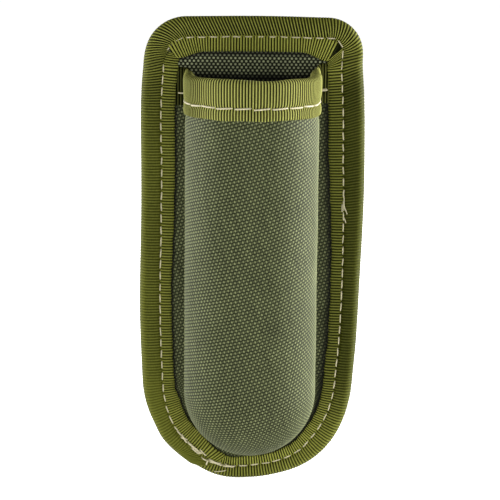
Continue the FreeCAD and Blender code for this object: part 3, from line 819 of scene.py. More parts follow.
def leg_sections(s, seam_edge, free_edge, out, puff, fade, shade, sharp=1.0):
    """Leg of the tape between its seam and its free edge, as closed sections."""
    across = np.concatenate([np.linspace(0, 0.93, 10), [0.985, 1.0]])
    drop = np.concatenate([np.zeros(10), [0.12, 0.34]])
    under = [11, 8, 4, 0]
    wave = rib_wave(len(s))
    width = free_edge - seam_edge
    picot = unit(width) * (0.26 * (wave - 0.5))[:, None]
    grid = seam_edge[:, None] + width[:, None] * across[:, None] + picot[:, None] * across[:, None] ** 6
    lift = puff[:, None] * hump(0.06 + 0.86 * across) - drop - 0.25 * bell(across, 0, 0.12)
    grid = grid + out * lift[..., None]
    skin = grid + out * ((wave - 0.5) * 2 * RIB_HEIGHT)[:, None, None]
    sections = np.hstack([skin, (grid - out * TAPE_SHEET)[:, under]])
    travel = np.concatenate([across, across[under]]) * 4.8 + 7
    place = np.stack([*np.broadcast_arrays(s[:, None], travel, fade[:, None])], -1)
    # shade dims the ridge marks; it carries painted shade from the callers.
    return sections, (wave**sharp * (1 - shade))[:, None], place


def edge_leg(s, shift=0.0, crevice=0.0, free=None, rear=False):
    """Leg that follows the outline; its free edge may slide along, its seam edge move in."""
    near = inset_place(s, seam_inset(s) + crevice - 0.1)
    far = inset_place(s + shift, leg_inset(s) if free is None else free)
    if rear:
        out = BACK
        near_y, far_y = EDGE_REAR_Y - LEG_SINK, REAR_Y + TAPE_SHEET
    else:
        out = FRONT
        near_y, far_y = front_face(near[:, 1]) + LEG_SINK, front_face(far[:, 1]) + FRONT_LEG_PROUD
    rise = out[1] * lap_rise(s)
    near = np.stack([near[:, 0], near_y + rise, near[:, 1]], -1)
    far = np.stack([far[:, 0], far_y + rise, far[:, 1]], -1)
    puff = leg_puff(s, 12 if rear else 14)
    # The legs take part of the fold's painted shade, and fade with wear.
    return leg_sections(s, near, far, out, puff, 0.5 * worn(s, 0.2), 0.6 * painted_shade_of(s))


def top_leg():
    """Front leg of the top run, whose two ends lie over the legs of the sides."""
    left, right = TOP_RUN
    s = stations(0, right - left)
    near_x = left + s / s[-1] * (right - left)
    far_x = near_x + 3.2 * ease(-near_x, 13, -left) - 3.3 * ease(near_x, 14, right)
    crown = TOP_Z - TOP_CROWN * (near_x / SIDE_X) ** 2
    radius = TOP_CORNER - SEAM_INSET
    turn = np.clip(np.abs(near_x) - (SIDE_X - TOP_CORNER) - 1.2 * (near_x > 0), 0, radius)
    near_z = crown - SEAM_INSET - radius + np.sqrt(radius**2 - turn**2) + 0.1 + 0.5 * bell(near_x, 3, 22)
    far_z = crown - LEG_INSET - 1.9 * ease(-far_x, 16, 25) - 2.5 * ease(far_x, 16, 25)
    ends = ease(np.abs(far_x), 17, 24)
    near = np.stack([near_x, front_face(near_z) + LEG_SINK - 0.1 * ends, near_z], -1)
    far = np.stack([far_x, front_face(far_z + 6) + FRONT_LEG_PROUD - 0.75 * ends, far_z], -1)
    sunk = ease(s, s[-1] - 1.3, s[-1])
    puff = leg_puff(s, 21) - 0.5 * sunk
    # Painted crevice shade darkens the leg's last 1.3 mm at its right end, next to the right leg. Sharper ridges
    # widen the dark valleys as a painted shadow of the ribs.
    return leg_sections(s, near, far, FRONT, puff, np.zeros(len(s)), 0.8 * sunk, sharp=1.25)


def make_edge_binding():
    """The fold round the edge, its legs on the front and its leg at the rear."""
    fold, legs, rear = Soup(), Soup(), Soup()
    fold.add(*edge_fold())
    corner_x, corner_z = SIDE_X - TOP_CORNER + LEG_CORNER[0], TOP_Z - TOP_CORNER + LEG_CORNER[1]
    right_top, left_top = outline.nearest(corner_x, corner_z), outline.nearest(-corner_x, corner_z)
    s = stations(TAPE_FIRST + 6, right_top - LEG_LAP)
    legs.add(*edge_leg(s, shift=-5.2 * ease(s, right_top - 9, right_top)))
    s = stations(left_top + LEG_GAP, TAPE_LAST)
    start = 1 - ease(s, left_top, left_top + 6)
    legs.add(*edge_leg(s, shift=3.3 * ease(s, TAPE_LAST - 8, TAPE_LAST) - 2.5 * start, crevice=start))
    legs.add(*top_leg())
    s = stations(0, outline.length)
    foot = ease(height_at(s), 6, -34)
    rear.add(*edge_leg(s, free=REAR_LEG_INSET + (REAR_LEG_FOOT_INSET - REAR_LEG_INSET) * foot, rear=True))
    fold.piece("edge_binding_fold", tape, "edge_binding_tape")
    legs.piece("edge_binding_front_legs", tape, "edge_binding_tape")
    rear.piece("edge_binding_rear_leg", tape, "edge_binding_tape")


# ---- Moulded pocket ----


def plan_path(radius, back_y, fillet, flange):
    """Plan of the pocket wall, from the left flange round the front to the right flange."""
    angles = np.linspace(0, math.pi / 2, 90)
    half = [(radius * math.sin(t), -radius * math.cos(t)) for t in angles]
    half.append((radius, back_y - fillet))
    for t in angles[::6]:
        half.append((radius + fillet - fillet * math.cos(t), back_y - fillet + fillet * math.sin(t)))
    if flange:
        half.append((flange, back_y))
    left = [(-x, y) for x, y in half[::-1]]
    return Path(left + half[1:], closed=False, spacing=0.1)


def from_axis(u, v):
    """Distance over the cloth from the well's front line or from the ball end's middle."""
    return np.hypot(u, np.minimum(v, 0))


def pocket_points(plan, u, v, pressed=0.0):
    """Places and normals on the pocket for cloth coordinates: u round the tube, v up it."""
    rho = from_axis(u, v)
    point, normal = plan.at(plan.length / 2 + rho)
    safe = np.maximum(rho, 1e-9)
    way_x = np.where(v >= 0, np.sign(u), u / safe)
    way_z = np.where(v >= 0, 0.0, v / safe)
    height = np.maximum(v, 0) + point[..., 0] * way_z
    places = np.stack([point[..., 0] * way_x, point[..., 1], height], -1)
    normals = np.stack([normal[..., 0] * way_x, normal[..., 1], normal[..., 0] * way_z], -1)
    places = places - normals * (pressed * ease(v, MOUTH_FOOT_Z - 2.0, MOUTH_FOOT_Z))[..., None]
    return places, normals, point[..., 0], way_z


def weave_lift(i, j, weft_lift=-0.25):
    """Height of plain weave at the points of a half-thread grid."""
    crossing = (i % 2 == 0) & (j % 2 == 0)
    over = ((i // 2 + j // 2) % 2 == 0) & crossing
    gap = (i % 2 == 1) & (j % 2 == 1)
    beside = (i % 2 == 1) & (j % 2 == 0)
    side = 0.3 - 0.8 * (weft_lift > 0)
    return np.select([over, beside, crossing, gap], [1.0, side, weft_lift, -1.0], -0.8)


def weave_grid(width, height, turn=0.0, warp=WARP_PITCH, weft=WEFT_PITCH):
    """Half-thread grid that reaches out to a width and a height, turned by an angle."""
    counts = (int(2 * math.hypot(width, height) / pitch) for pitch in (warp, weft))
    i, j = np.meshgrid(*(np.arange(-count, count + 1) for count in counts), indexing="ij")
    across, along = i * warp / 2, j * weft / 2
    u = across * math.cos(turn) - along * math.sin(turn)
    v = across * math.sin(turn) + along * math.cos(turn)
    return i, j, u, v, np.stack([across, along, np.zeros(i.shape)], -1)


def add_sheet(name, places, keep, weave, material, node):
    """Sheet made of the grid cells whose four corners are all kept."""
    rows, columns = keep.shape
    faces = grid_faces(rows, columns)
    faces = faces[keep.ravel()[faces].all(1)]
    used = np.unique(faces)
    renumber = np.zeros(rows * columns, int)
    renumber[used] = np.arange(len(used))
    layers = {"weave": weave.reshape(-1, 3)[used]}
    points = places.reshape(-1, 3)[used]
    return add_piece(name, points, renumber[faces].tolist(), material, (node,), layers=layers)


def beside_leg(x, z):
    """1 at and under the free edges of the side legs, 0 a little further in."""
    s = np.linspace(0, outline.length, 900)
    edge = inset_place(s, leg_inset(s))
    reach = np.zeros(np.shape(z))
    for side, wide in ((-1, 1.3), (1, 2.8)):
        chosen = edge[(edge[:, 0] * side > 6) & (edge[:, 1] < 100)]
        chosen = chosen[np.argsort(chosen[:, 1])]
        limit = np.interp(z, chosen[:, 1], chosen[:, 0] * side)
        reach = np.maximum(reach, ease(x * side, limit - wide, limit - 0.4))
    return reach


def make_shell():
    """Woven cloth of the pocket and its flange."""
    plan = plan_path(TUBE_RADIUS, FLANGE_Y, ROOT_FILLET, FLANGE_REACH)
    top = MOUTH_FOOT_Z + 5
    i, j, u, v, weave = weave_grid(62, top, CLOTH_TURN)
    places, normals, reach, way_z = pocket_points(plan, u, v, pressed=TAPE_PRESS)
    lift = WEAVE_HEIGHT * weave_lift(i, j, weft_lift=0.7) + 0.12 * waves(u, 7.0, 31) * waves(v, 13.0, 32)
    places = places + normals * lift[..., None]
    weave[..., 2] = SHADOW_BESIDE_LEG * beside_leg(places[..., 0], places[..., 2])
    keep = (from_axis(u, v) < plan.length / 2 - 0.5) & (v < top)
    keep &= reach < FLANGE_SHOWN + 2.0 * np.maximum(-way_z, 0)
    add_sheet("front_shell_cloth", places, keep, weave, cloth, "front_shell_outer_fabric")


def make_lining():
    """Thin lining inside the well."""
    plan = plan_path(WELL_RADIUS, FACE_Y - 0.1, 0.0, 0.0)
    _, _, u, v, weave = weave_grid(56, MOUTH_Z, warp=LINING_PITCH, weft=LINING_PITCH)
    places = pocket_points(plan, u, v)[0]
    keep = (from_axis(u, v) < plan.length / 2) & (v < MOUTH_Z - 8.5)
    sheet = add_sheet("front_shell_lining_cloth", places, keep, weave, lining, "front_shell_lining")
    thicken(sheet, LINING_SHEET, offset=1.0)


def make_foam():
    """Foam between the cloth and the lining, which stops below the mouth tape."""
    plan = plan_path((TUBE_RADIUS + WELL_RADIUS) / 2, FLANGE_Y + 1.0, ROOT_FILLET, 30.0)
    _, _, u, v, weave = weave_grid(60, MOUTH_Z, warp=FOAM_PITCH, weft=FOAM_PITCH)
    places, _, reach, _ = pocket_points(plan, u, v)
    keep = (from_axis(u, v) < plan.length / 2) & (reach < FLANGE_SHOWN) & (v < MOUTH_FOOT_Z - 1)
    thicken(add_sheet("front_shell_foam_sheet", places, keep, weave, foam, "front_shell_foam"), FOAM_SHEET)


def thin_wall(y):
    """How much further out the mouth tape's inner face lies where the well meets the flange."""
    return 1.9 * ease(y, 2.0, FLANGE_Y - 1)


def flange_rise(x):
    """How much higher the mouth tape sits on the flange than on the tube."""
    right, left = (ease(way * x, TUBE_RADIUS - 1, TUBE_RADIUS + 1.5) for way in (1, -1))
    return 1.2 * right + 0.3 * left


def mouth_profile():
    """Section of the mouth tape: distances out from the tube, heights, and which are its skin."""
    foot, seam, top = MOUTH_FOOT_Z, MOUTH_SEAM_Z, MOUTH_Z
    outer_z = np.concatenate([[foot, foot + 0.15], np.linspace(foot + 0.7, top - RIM_ROUNDING, 17)])
    low_puff = 0.3 * hump((outer_z - foot + 0.6) / (seam - foot + 0.6)) * (outer_z < seam)
    high_puff = 0.42 * hump((outer_z - seam) / (top + 2.5 - seam)) * (outer_z >= seam)
    outer_n = 0.12 + low_puff + high_puff - 0.35 * bell(outer_z, seam, 0.55)
    outer_n[0] -= 0.3
    turn = np.linspace(0, math.pi, 11)[1:-1]
    wall = WALL + RIM_LOOSENESS
    rim_n = (outer_n[-1] - wall) / 2 + (outer_n[-1] + wall) / 2 * np.cos(turn)
    rim_z = top - RIM_ROUNDING + 1.6 * np.sin(turn)
    under_n = [TAPE_SHEET - wall, TAPE_SHEET - wall, -wall / 2, 0.1 - TAPE_SHEET, 0.1 - TAPE_SHEET]
    inner_z = np.linspace(top - RIM_ROUNDING, top - MOUTH_TAPE_DEPTH, 8)
    under_z = [top - MOUTH_TAPE_DEPTH, top - 2.0, top - 0.9, top - 2.0, foot + 0.1]
    n = np.concatenate([outer_n, rim_n, np.full(8, -wall), under_n])
    z = np.concatenate([outer_z, rim_z, inner_z, under_z])
    return n, z, np.arange(len(z)) < len(z) - len(under_z)


def mouth_tape_sections():
    """Tape folded over the mouth, with its ends tucked under the edge binding."""
    plan = plan_path(TUBE_RADIUS, FLANGE_Y, ROOT_FILLET, MOUTH_TAPE_REACH)
    s = stations(0, plan.length)
    point, normal = plan.at(s)
    off_middle = np.abs(point[:, 0])
    side = s / plan.length * 2 - 1
    n, z, on_skin = mouth_profile()
    upper = ease(z, MOUTH_SEAM_Z, MOUTH_Z)
    forward = 0.8 * ease(np.abs(side), 0.85, 0.15)
    wander = forward + 0.3 * waves(s, 7.0, 41) + 0.55 * ease(side, 0.2, 0.9)
    drift = forward + 0.18 * waves(s, 5.0, 43)
    height = z + upper * wander[:, None] + (1 - upper) * drift[:, None]
    height = height + flange_rise(point[:, 0])[:, None]
    wave = rib_wave(len(s))
    ribs = on_skin * np.where(n > -WALL / 2, 1.0, -1.0) * ((wave - 0.5) * 2 * RIB_HEIGHT)[:, None]
    pull = 0.18 * bell(z, MOUTH_SEAM_Z, 0.7) * stitch_pull(s, MOUTH_STITCH)[:, None]
    puff = (1 + 0.3 * waves(s, 5.0, 47)) * ease(off_middle, 25.5, 23.5)
    thin = thin_wall(point[:, 1]) * ease(off_middle, TUBE_RADIUS + 3, TUBE_RADIUS)
    out = np.where(n > 0.12, 0.12 + (n - 0.12) * puff[:, None], n)
    reach = out + thin[:, None] * ease(n, -0.3, -2.2) + ribs - pull
    x = point[:, :1] + normal[:, :1] * reach
    y = np.minimum(point[:, 1:] + normal[:, 1:] * reach, FACE_Y - 0.06)
    # Painted shade: the ridge marks are dimmed where the tape lies on the flange and on the tube's left flank. The
    # raised power widens the dark valleys.
    on_flange = ease(off_middle, TUBE_RADIUS, TUBE_RADIUS + 0.8)
    painted_flank_shade = ease(off_middle, 13, 20) * (0.08 - 0.08 * np.sign(point[:, 0]))
    mark = (wave**1.5 * (1 - 0.35 * on_flange) * (1 - painted_flank_shade))[:, None]
    place = np.stack([*np.broadcast_arrays(s[:, None], height, 0.0)], -1)
    return np.stack([x, y, height], -1), mark, place


def make_mouth_tape():
    soup = Soup()
    soup.add(*mouth_tape_sections())
    soup.piece("mouth_binding", mouth_tape, "mouth_binding_tape")


# ---- Back panel ----


def padded_depth(z_range, half_width, pinned):
    """Outward swell of a padded sheet: a cloth that grows between its pinned seams."""
    step = 3.0
    xs = np.arange(-half_width, half_width + step / 2, step)
    zs = np.arange(z_range[0], z_range[1] + step / 2, step)
    x, z = np.meshgrid(xs, zs, indexing="ij")
    fixed = pinned(x, z)
    points = np.stack([x, np.where(fixed, 0.0, 0.15), z], -1).reshape(-1, 3)
    sheet = add_piece("padding", points, grid_faces(len(xs), len(zs)).tolist(), cloth, body=None)
    group = sheet.vertex_groups.new(name="pin")
    group.add(np.flatnonzero(fixed.ravel()).tolist(), 1.0, "REPLACE")
    settings = sheet.modifiers.new("cloth", "CLOTH").settings
    settings.vertex_group_mass = "pin"
    settings.shrink_min = -0.03
    settings.quality = 6
    settings.tension_stiffness = 20
    settings.bending_stiffness = 2
    scene = bpy.context.scene
    gravity = tuple(scene.gravity)
    scene.gravity = (0.0, 9.8, 0.0)
    for number in range(1, 21):
        scene.frame_set(number)
    evaluated = sheet.evaluated_get(bpy.context.evaluated_depsgraph_get())
    swell = np.array([vertex.co[1] for vertex in evaluated.data.vertices]) / MM
    scene.frame_set(1)
    scene.gravity = gravity
    bpy.data.objects.remove(sheet)
    return xs, zs, np.clip(swell.reshape(x.shape), 0, 1.6)


def lookup(xs, zs, values, x, z):
    """Value of a grid at the places given, straight between its points."""
    column = np.clip((x - xs[0]) / (xs[1] - xs[0]), 0, len(xs) - 1.001)
    row = np.clip((z - zs[0]) / (zs[1] - zs[0]), 0, len(zs) - 1.001)
    i, j = column.astype(int), row.astype(int)
    a, b = column - i, row - j
    near = values[i, j] * (1 - b) + values[i, j + 1] * b
    far = values[i + 1, j] * (1 - b) + values[i + 1, j + 1] * b
    return near * (1 - a) + far * a


def in_window(x, z, side, round_foot):
    """Part of the back panel that the binding leaves open, and a little more."""
    round_part = from_axis(x, z - (FOOT_Z + FOOT_CORNER)) < round_foot
    return (np.abs(x) < side) & (z < TOP_Z - 8.5) & round_part


def pinned_places(x, z):
    """Places where the rear cloth is sewn down: its edge, the strap and the hook patch."""
    edge = ~in_window(x, z, 25.5, 24.5) | (z > TOP_Z - 11)
    strap = (np.abs(x) < SEWN_HIGH[0]) & (z > SEWN_LOW[2])
    patch = (np.abs(x) < HOOK_HIGH[0]) & (z > HOOK_LOW[2]) & (z < HOOK_HIGH[2])
    return edge | strap | patch


def make_panel():
    """Face and rear cloth of the back panel."""
    i, j, u, v, weave = weave_grid(30, 116)
    lift = WEAVE_HEIGHT * weave_lift(i, j)
    bow = 0.125 * ease(v, MOUTH_Z - 6, MOUTH_Z + 6) * np.cos(u / 26)
    face = np.stack([u, FACE_Y - lift - bow, v], -1)
    top_edge = TOP_Z - LEG_INSET - 1.0 - 2.0 * ease(np.abs(u), 16, 25)
    in_well = SHADOW_IN_WELL * ease(v, MOUTH_Z - 1.2, MOUTH_Z - 3.2)
    shadow = np.maximum(SHADOW_UNDER_TAPE * ease(v, top_edge - 0.9, top_edge), in_well)
    face_weave = weave + shadow[..., None] * (0, 0, 1)
    keep = in_window(u, v, 28.5, 29.0) & (v > -40)
    add_sheet("back_panel_face_cloth", face, keep, face_weave, panel_cloth_painted_light, "back_panel_face_fabric")
    swell = lookup(*padded_depth((-36, 120), 30, pinned_places), u, v)
    rear = np.stack([u, REAR_Y + lift + swell, v], -1)[::-1]
    keep = in_window(u, v, 30.0, 28.0)[::-1]
    add_sheet("back_panel_rear_cloth", rear, keep, weave[::-1], panel_cloth_painted_light, "back_panel_rear_fabric")


def make_panel_foam():
    """Foam inside the back panel, a little uneven."""
    low, high = corners("back_panel_foam")
    _, _, u, v, weave = weave_grid(34, 116, warp=FOAM_PITCH, weft=FOAM_PITCH)
    middle = (low[1] + high[1]) / 2 + 0.03 * waves(u, 9.0, 51) * waves(v, 9.0, 52)
    places, keep = np.stack([u, middle, v], -1), in_window(u, v, 30.0, 29.0)
    sheet = add_sheet("back_panel_foam_sheet", places, keep, weave, foam, "back_panel_foam")
    thicken(sheet, high[1] - low[1] - 0.1)


# ---- Seams ----


def add_stitch(soup, start, end, out, radius=THREAD_RADIUS, proud=0.12):
    """One twisted stitch that rises from one hole and dives into the next."""
    start, end = np.array(start, float), np.array(end, float)
    t = np.linspace(0, 1, 15)[:, None]
    off = np.abs(2 * t - 1)
    soup.add_thread(start + (end - start) * t + out * (proud * (1 - off**4) - 0.7 * off**10), radius)


def seam_curve(rear=False):
    """The edge seam as points in space with the distance along it."""
    s = np.linspace(0, outline.length, 2400)
    place = inset_place(s, seam_inset(s))
    if rear:
        depth = EDGE_REAR_Y - 0.3 + lap_rise(s)
    else:
        depth = front_face(place[:, 1]) + 0.3 - lap_rise(s)
    points = np.stack([place[:, 0], depth, place[:, 1]], -1)
    return points, travelled(points)


def shown_on_front(middle):
    """False where the tape or the back-tack hides a stitch of the edge seam."""
    under_tape = middle[0] < -24 and 106.3 < middle[2] < 111.3
    back = outline.length - outline.nearest(middle[0], middle[2])
    return not under_tape and not BACK_TACK[-1][1] < back < BACK_TACK[0][0]


def make_edge_seam(rear):
    """Lockstitches round the edge binding."""
    points, distance = seam_curve(rear)
    pitch = distance[-1] / int(round(distance[-1] / EDGE_STITCH))
    out = BACK if rear else FRONT
    soup = Soup()
    for k in range(int(round(distance[-1] / EDGE_STITCH))):
        shown = EDGE_STITCH_SHOWN + rng.uniform(-0.25, 0.2)
        at = (k + 0.5) * pitch + rng.uniform(-0.12, 0.12) + np.array([-shown / 2, shown / 2])
        start, end = between(at, distance, points)
        skew = np.array([rng.uniform(-0.14, 0.14), 0, rng.uniform(-0.14, 0.14)])
        if rear or shown_on_front((start + end) / 2):
            add_stitch(soup, start + skew, end - skew, out)
    if rear:
        soup.thread_piece("edge_seam_rear_thread", "edge_seam_bobbin_thread")
    else:
        add_loose_threads(soup)
        soup.thread_piece("edge_seam_front_thread", "edge_seam_needle_thread")


def add_strand(soup, ends, radius):
    """Strand over the binding; each end is a distance along the seam and one outside it."""
    spots = []
    for s, off in ends:
        x, z = inset_place(np.array(s), seam_inset(np.array(s)) - off)
        spots.append((x, front_face(z) + 0.25 * ease(off, 1.5, 0) - lap_rise(s) - 0.25, z))
    add_stitch(soup, *spots, FRONT, radius, proud=0.3)


def add_loose_threads(soup):
    """Back-tack that locks the seam at the lap, and the snag on the right."""
    for far, near, far_off, near_off, radius in BACK_TACK:
        add_strand(soup, ((outline.length - far, far_off), (outline.length - near, near_off)), radius)
    for top, low, top_off, low_off, radius in SNAG:
        top, low = outline.nearest(SIDE_X, top), outline.nearest(SIDE_X, low)
        add_strand(soup, ((top, top_off), (low, low_off)), radius)


def make_mouth_seam():
    """Long lockstitches round the mouth tape, and their threads inside the well."""
    plan = plan_path(TUBE_RADIUS, FLANGE_Y, ROOT_FILLET, 27.0)
    inner = plan_path(WELL_RADIUS, FACE_Y - 0.6, 0.0, 0.0)
    front, inside = Soup(), Soup()
    count = int(plan.length / MOUTH_STITCH)
    offset = (plan.length - count * MOUTH_STITCH) / 2
    t = np.linspace(-0.5, 0.5, 15)
    off = np.abs(2 * t)
    for k in range(count):
        shown = MOUTH_STITCH_SHOWN + rng.uniform(-0.3, 0.3)
        middle = offset + (k + 0.5) * MOUTH_STITCH
        point, normal = plan.at(middle + t * shown)
        last = float(k == count - 1)
        lift = 0.12 + 0.2 * (1 - off**4) - 0.8 * off**12 + 0.4 * last
        tilt = rng.uniform(-0.25, 0.25)
        rise = 0.8 * ease(np.abs(middle / plan.length * 2 - 1), 0.85, 0.15)
        rise = rise + flange_rise(point[:, 0]) + 0.7 * last + rng.uniform(-0.12, 0.12)
        path = np.column_stack([point + normal * lift[:, None], MOUTH_SEAM_Z + rise + tilt * t * 2])
        front.add_thread(path, MOUTH_THREAD_RADIUS * (1 + 0.6 * last))
    t = np.linspace(-0.5, 0.5, 11)
    for k in range(int(inner.length / MOUTH_STITCH)):
        point, normal = inner.at((k + 0.5) * MOUTH_STITCH + t * MOUTH_STITCH_SHOWN)
        if point[:, 1].max() < FLANGE_Y - 1.5:
            lift = 0.28 - 0.6 * np.abs(2 * t) ** 12 - thin_wall(point[:, 1])
            path = np.column_stack([point - normal * lift[:, None], np.full(11, MOUTH_SEAM_Z)])
            inside.add_thread(path, INNER_THREAD_RADIUS)
    front.thread_piece("mouth_seam_front_thread", "mouth_seam_needle_thread")
    inside.thread_piece("mouth_seam_inner_thread", "mouth_seam_bobbin_thread")


# ---- Belt strap, patches and snaps ----


def strap_depth(z):
    """Depth of the strap's middle: on the panel, out round the belt, in to the patches."""
    sewn = (SEWN_LOW[1] + SEWN_HIGH[1]) / 2
    belt = FLAP_HIGH[1] - STRAP / 2
    tab = LOOP_HIGH[1] + STRAP / 2
    out = (belt - sewn) * ease(z, FOLD[2] + 1.5, FOLD[2] - 6)
    return sewn + out + (tab - belt) * ease(z, LOOP_HIGH[2] + 11, LOOP_HIGH[2] + 3)


def make_strap():
    """One length of webbing from its sewn end over the fold to its free tab."""
    z = np.linspace(SEWN_HIGH[2], FLAP_LOW[2], 900)
    path = Path(np.stack([strap_depth(z), z], 1), closed=False, spacing=STRAP_GRID)
    v = path.s[:, None]
    to_end = np.minimum(path.length - v, STRAP_CORNER)
    half = FLAP_HIGH[0] - STRAP_CORNER + np.sqrt(STRAP_CORNER**2 - (STRAP_CORNER - to_end) ** 2)
    u = np.linspace(-1, 1, int(2 * FLAP_HIGH[0] / STRAP_GRID) + 1) * half
    ends = np.minimum(v, path.length - v)
    from_edge = np.clip(np.minimum(half - np.abs(u), ends + 0.05) / STRAP_EDGE, 0, 1)
    thick = STRAP / 2 * np.sqrt(1 - (1 - from_edge) ** 2)
    row = np.round(v / ROW_PITCH)
    weave = np.cos(math.pi * (u / CORD_PITCH + row)) * np.cos(math.pi * (v / ROW_PITCH - row))
    height = np.broadcast_to(path.points[:, 1:], u.shape)
    groove = 0.3 * bell(in_box(u, height, *corners("belt_strap_box_stitch")), -0.25, 0.7)
    from_snap = np.hypot(np.abs(u) - SNAP_X, height - SNAP_Z)
    near_snap = 1 - ease(from_snap, SNAP_CLEARANCE, SNAP_CLEARANCE + 2.5)
    lift = 0.11 * weave * from_edge * (1 - near_snap) - groove - 0.25 * near_snap
    sides = []
    for off in (thick + lift, -thick - 0.6 * lift):
        place = path.points[:, None, :] - path.normals[:, None, :] * off[..., None]
        sides.append(np.stack([u, place[..., 0], place[..., 1]], -1))
    across = np.hstack([u, u[:, ::-1]])
    place = np.stack([*np.broadcast_arrays(across, v, 0.0)], -1)
    soup = Soup()
    soup.add(np.hstack([sides[0], sides[1][:, ::-1]]), place=place)
    nodes = ("belt_strap_sewn_end", "belt_strap_flap")
    piece = soup.piece("belt_strap_webbing", webbing, *nodes, body=None, mark="float", place="weave")
    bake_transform(piece)


def stitch_row(soup, start, end, out):
    """A straight row of stitches."""
    start, end = np.array(start, float), np.array(end, float)
    count = max(1, int(round(np.linalg.norm(end - start) / BACK_STITCH)))
    for k in range(count):
        first, last = (start + (end - start) * (k + share) / count for share in (0.1, 0.9))
        skew = np.array([rng.uniform(-0.1, 0.1), 0.0, rng.uniform(-0.1, 0.1)])
        add_stitch(soup, first + skew, last - skew, out)


def stitch_box(soup, node, depth, out, crossed=False):
    """Rows of stitches round the box of a CAD node, and across it."""
    low, high = corners(node)
    left, bottom, right, top = low[0] + 0.25, low[2] + 0.25, high[0] - 0.25, high[2] - 0.25
    spots = [(left, depth, bottom), (right, depth, bottom), (right, depth, top), (left, depth, top)]
    rows = [(0, 1), (1, 2), (2, 3), (3, 0)] + [(0, 2), (1, 3)] * crossed
    for first, last in rows:
        stitch_row(soup, spots[first], spots[last], out)


def make_strap_seams():
    """Box stitch of the strap, and the stitches round both patches."""
    box, hooks, loops = Soup(), Soup(), Soup()
    stitch_box(box, "belt_strap_box_stitch", SEWN_HIGH[1] - 0.05, BACK, crossed=True)
    box.thread_piece("strap_box_thread", "belt_strap_box_stitch")
    stitch_box(hooks, "hook_patch_stitch", HOOK_LOW[1] + PATCH_BASE, BACK)
    hooks.thread_piece("hook_patch_thread", "hook_patch_stitch")
    stitch_box(loops, "loop_patch_stitch", LOOP_HIGH[1] + STRAP, BACK)
    stitch_box(loops, "loop_patch_stitch", LOOP_HIGH[1] - PATCH_BASE, FRONT)
    loops.thread_piece("loop_patch_thread", "loop_patch_stitch", body="strap")


def patch_plate(name, low, high, base_low, material, node, body):
    """Base of a patch: a plate with rounded corners and holes for the snaps."""
    curve = bpy.data.curves.new(name, "CURVE")
    curve.dimensions = "2D"
    curve.fill_mode = "BOTH"
    curve.extrude = PATCH_BASE / 2
    curve.bevel_depth = PATCH_BEVEL
    square = [(low[0], low[2]), (high[0], low[2]), (high[0], high[2]), (low[0], high[2])]
    loops = [rounded_polygon(square, (PATCH_CORNER,) * 4, 10)]
    angle = np.linspace(0, 2 * math.pi, 48, endpoint=False)
    circle = SNAP_CLEARANCE * np.stack([np.cos(angle), np.sin(angle)], 1)
    loops += [circle + (x, SNAP_Z) for x in (-SNAP_X, SNAP_X)]
    for points in loops:
        spline = curve.splines.new("POLY")
        spline.points.add(len(points) - 1)
        spline.use_cyclic_u = True
        for spot, (x, z) in zip(spline.points, points):
            spot.co = (x, z, 0.0, 1.0)
    shape = bpy.data.objects.new(name, curve)
    mesh = bpy.data.meshes.new_from_object(shape)
    flat = np.array([vertex.co for vertex in mesh.vertices])
    points = np.stack([flat[:, 0], base_low + PATCH_BASE / 2 - flat[:, 2], flat[:, 1]], 1)
    faces = [list(face.vertices) for face in mesh.polygons]
    bpy.data.objects.remove(shape)
    add_piece(name, points, faces, material, (node,), body, flat=True)


def patch_spots(low, high, pitch):
    """Staggered places on a patch, clear of its stitches and of its snap holes."""
    xs, zs = (np.arange(low[k] + PATCH_MARGIN, high[k] - PATCH_MARGIN, pitch) for k in (0, 2))
    x, z = np.meshgrid(xs, zs)
    x = x + (np.arange(len(zs)) % 2 * pitch / 2)[:, None]
    clear = np.hypot(np.abs(x) - SNAP_X, z - SNAP_Z) > SNAP_CLEARANCE + 0.7
    keep = clear & (x < high[0] - 2.0)
    return zip(x[keep], z[keep])


def make_hook_patch():
    """Hook patch on the panel, with bent stems."""
    patch_plate("hook_patch_base", HOOK_LOW, HOOK_HIGH, HOOK_LOW[1], hook_tape, "hook_patch", "holster")
    soup = Soup()
    tip = HOOK_HIGH[1] - HOOK_LOW[1] - PATCH_BASE - PILE_GAP
    for x, z in patch_spots(HOOK_LOW, HOOK_HIGH, HOOK_PITCH):
        lean = 0.35 * rng.choice((-1, 1))
        rises = np.array([0.0, 0.6, 0.9, 1.0, 0.75]) * tip + HOOK_LOW[1] + PATCH_BASE
        leans = np.array([0.0, 0.0, 0.3, 1.0, 1.5]) * lean
        soup.add(tube_sections(np.stack([np.full(5, x), rises, z + leans], 1), HOOK_RADIUS, sides=6)[0])
    soup.piece("hook_patch_hooks", hook_tape, "hook_patch")


def make_loop_patch():
    """Loop patch on the strap, with uneven loops."""
    base = LOOP_HIGH[1] - PATCH_BASE
    patch_plate("loop_patch_base", LOOP_LOW, LOOP_HIGH, base, loop_tape, "loop_patch", "strap")
    soup = Soup()
    tall = base - LOOP_LOW[1] - PILE_GAP
    t = np.linspace(0, math.pi, 7)
    for x, z in patch_spots(LOOP_LOW, LOOP_HIGH, LOOP_PITCH):
        turn, wide, high = rng.uniform(0, 6.3), rng.uniform(0.5, 0.9), tall * rng.uniform(0.6, 1.0)
        side = -wide / 2 * np.cos(t)
        arc = [x + side * math.cos(turn), base - high * np.sin(t), z + side * math.sin(turn)]
        soup.add(tube_sections(np.stack(arc, 1), LOOP_RADIUS, sides=5)[0])
    soup.piece("loop_patch_loops", loop_tape, "loop_patch", body="strap")


def dress(material, *nodes):
    """Gives CAD nodes that stay visible their finish."""
    for node in nodes:
        slots = frame["nodes"][node].data.materials
        slots.clear()
        slots.append(material)


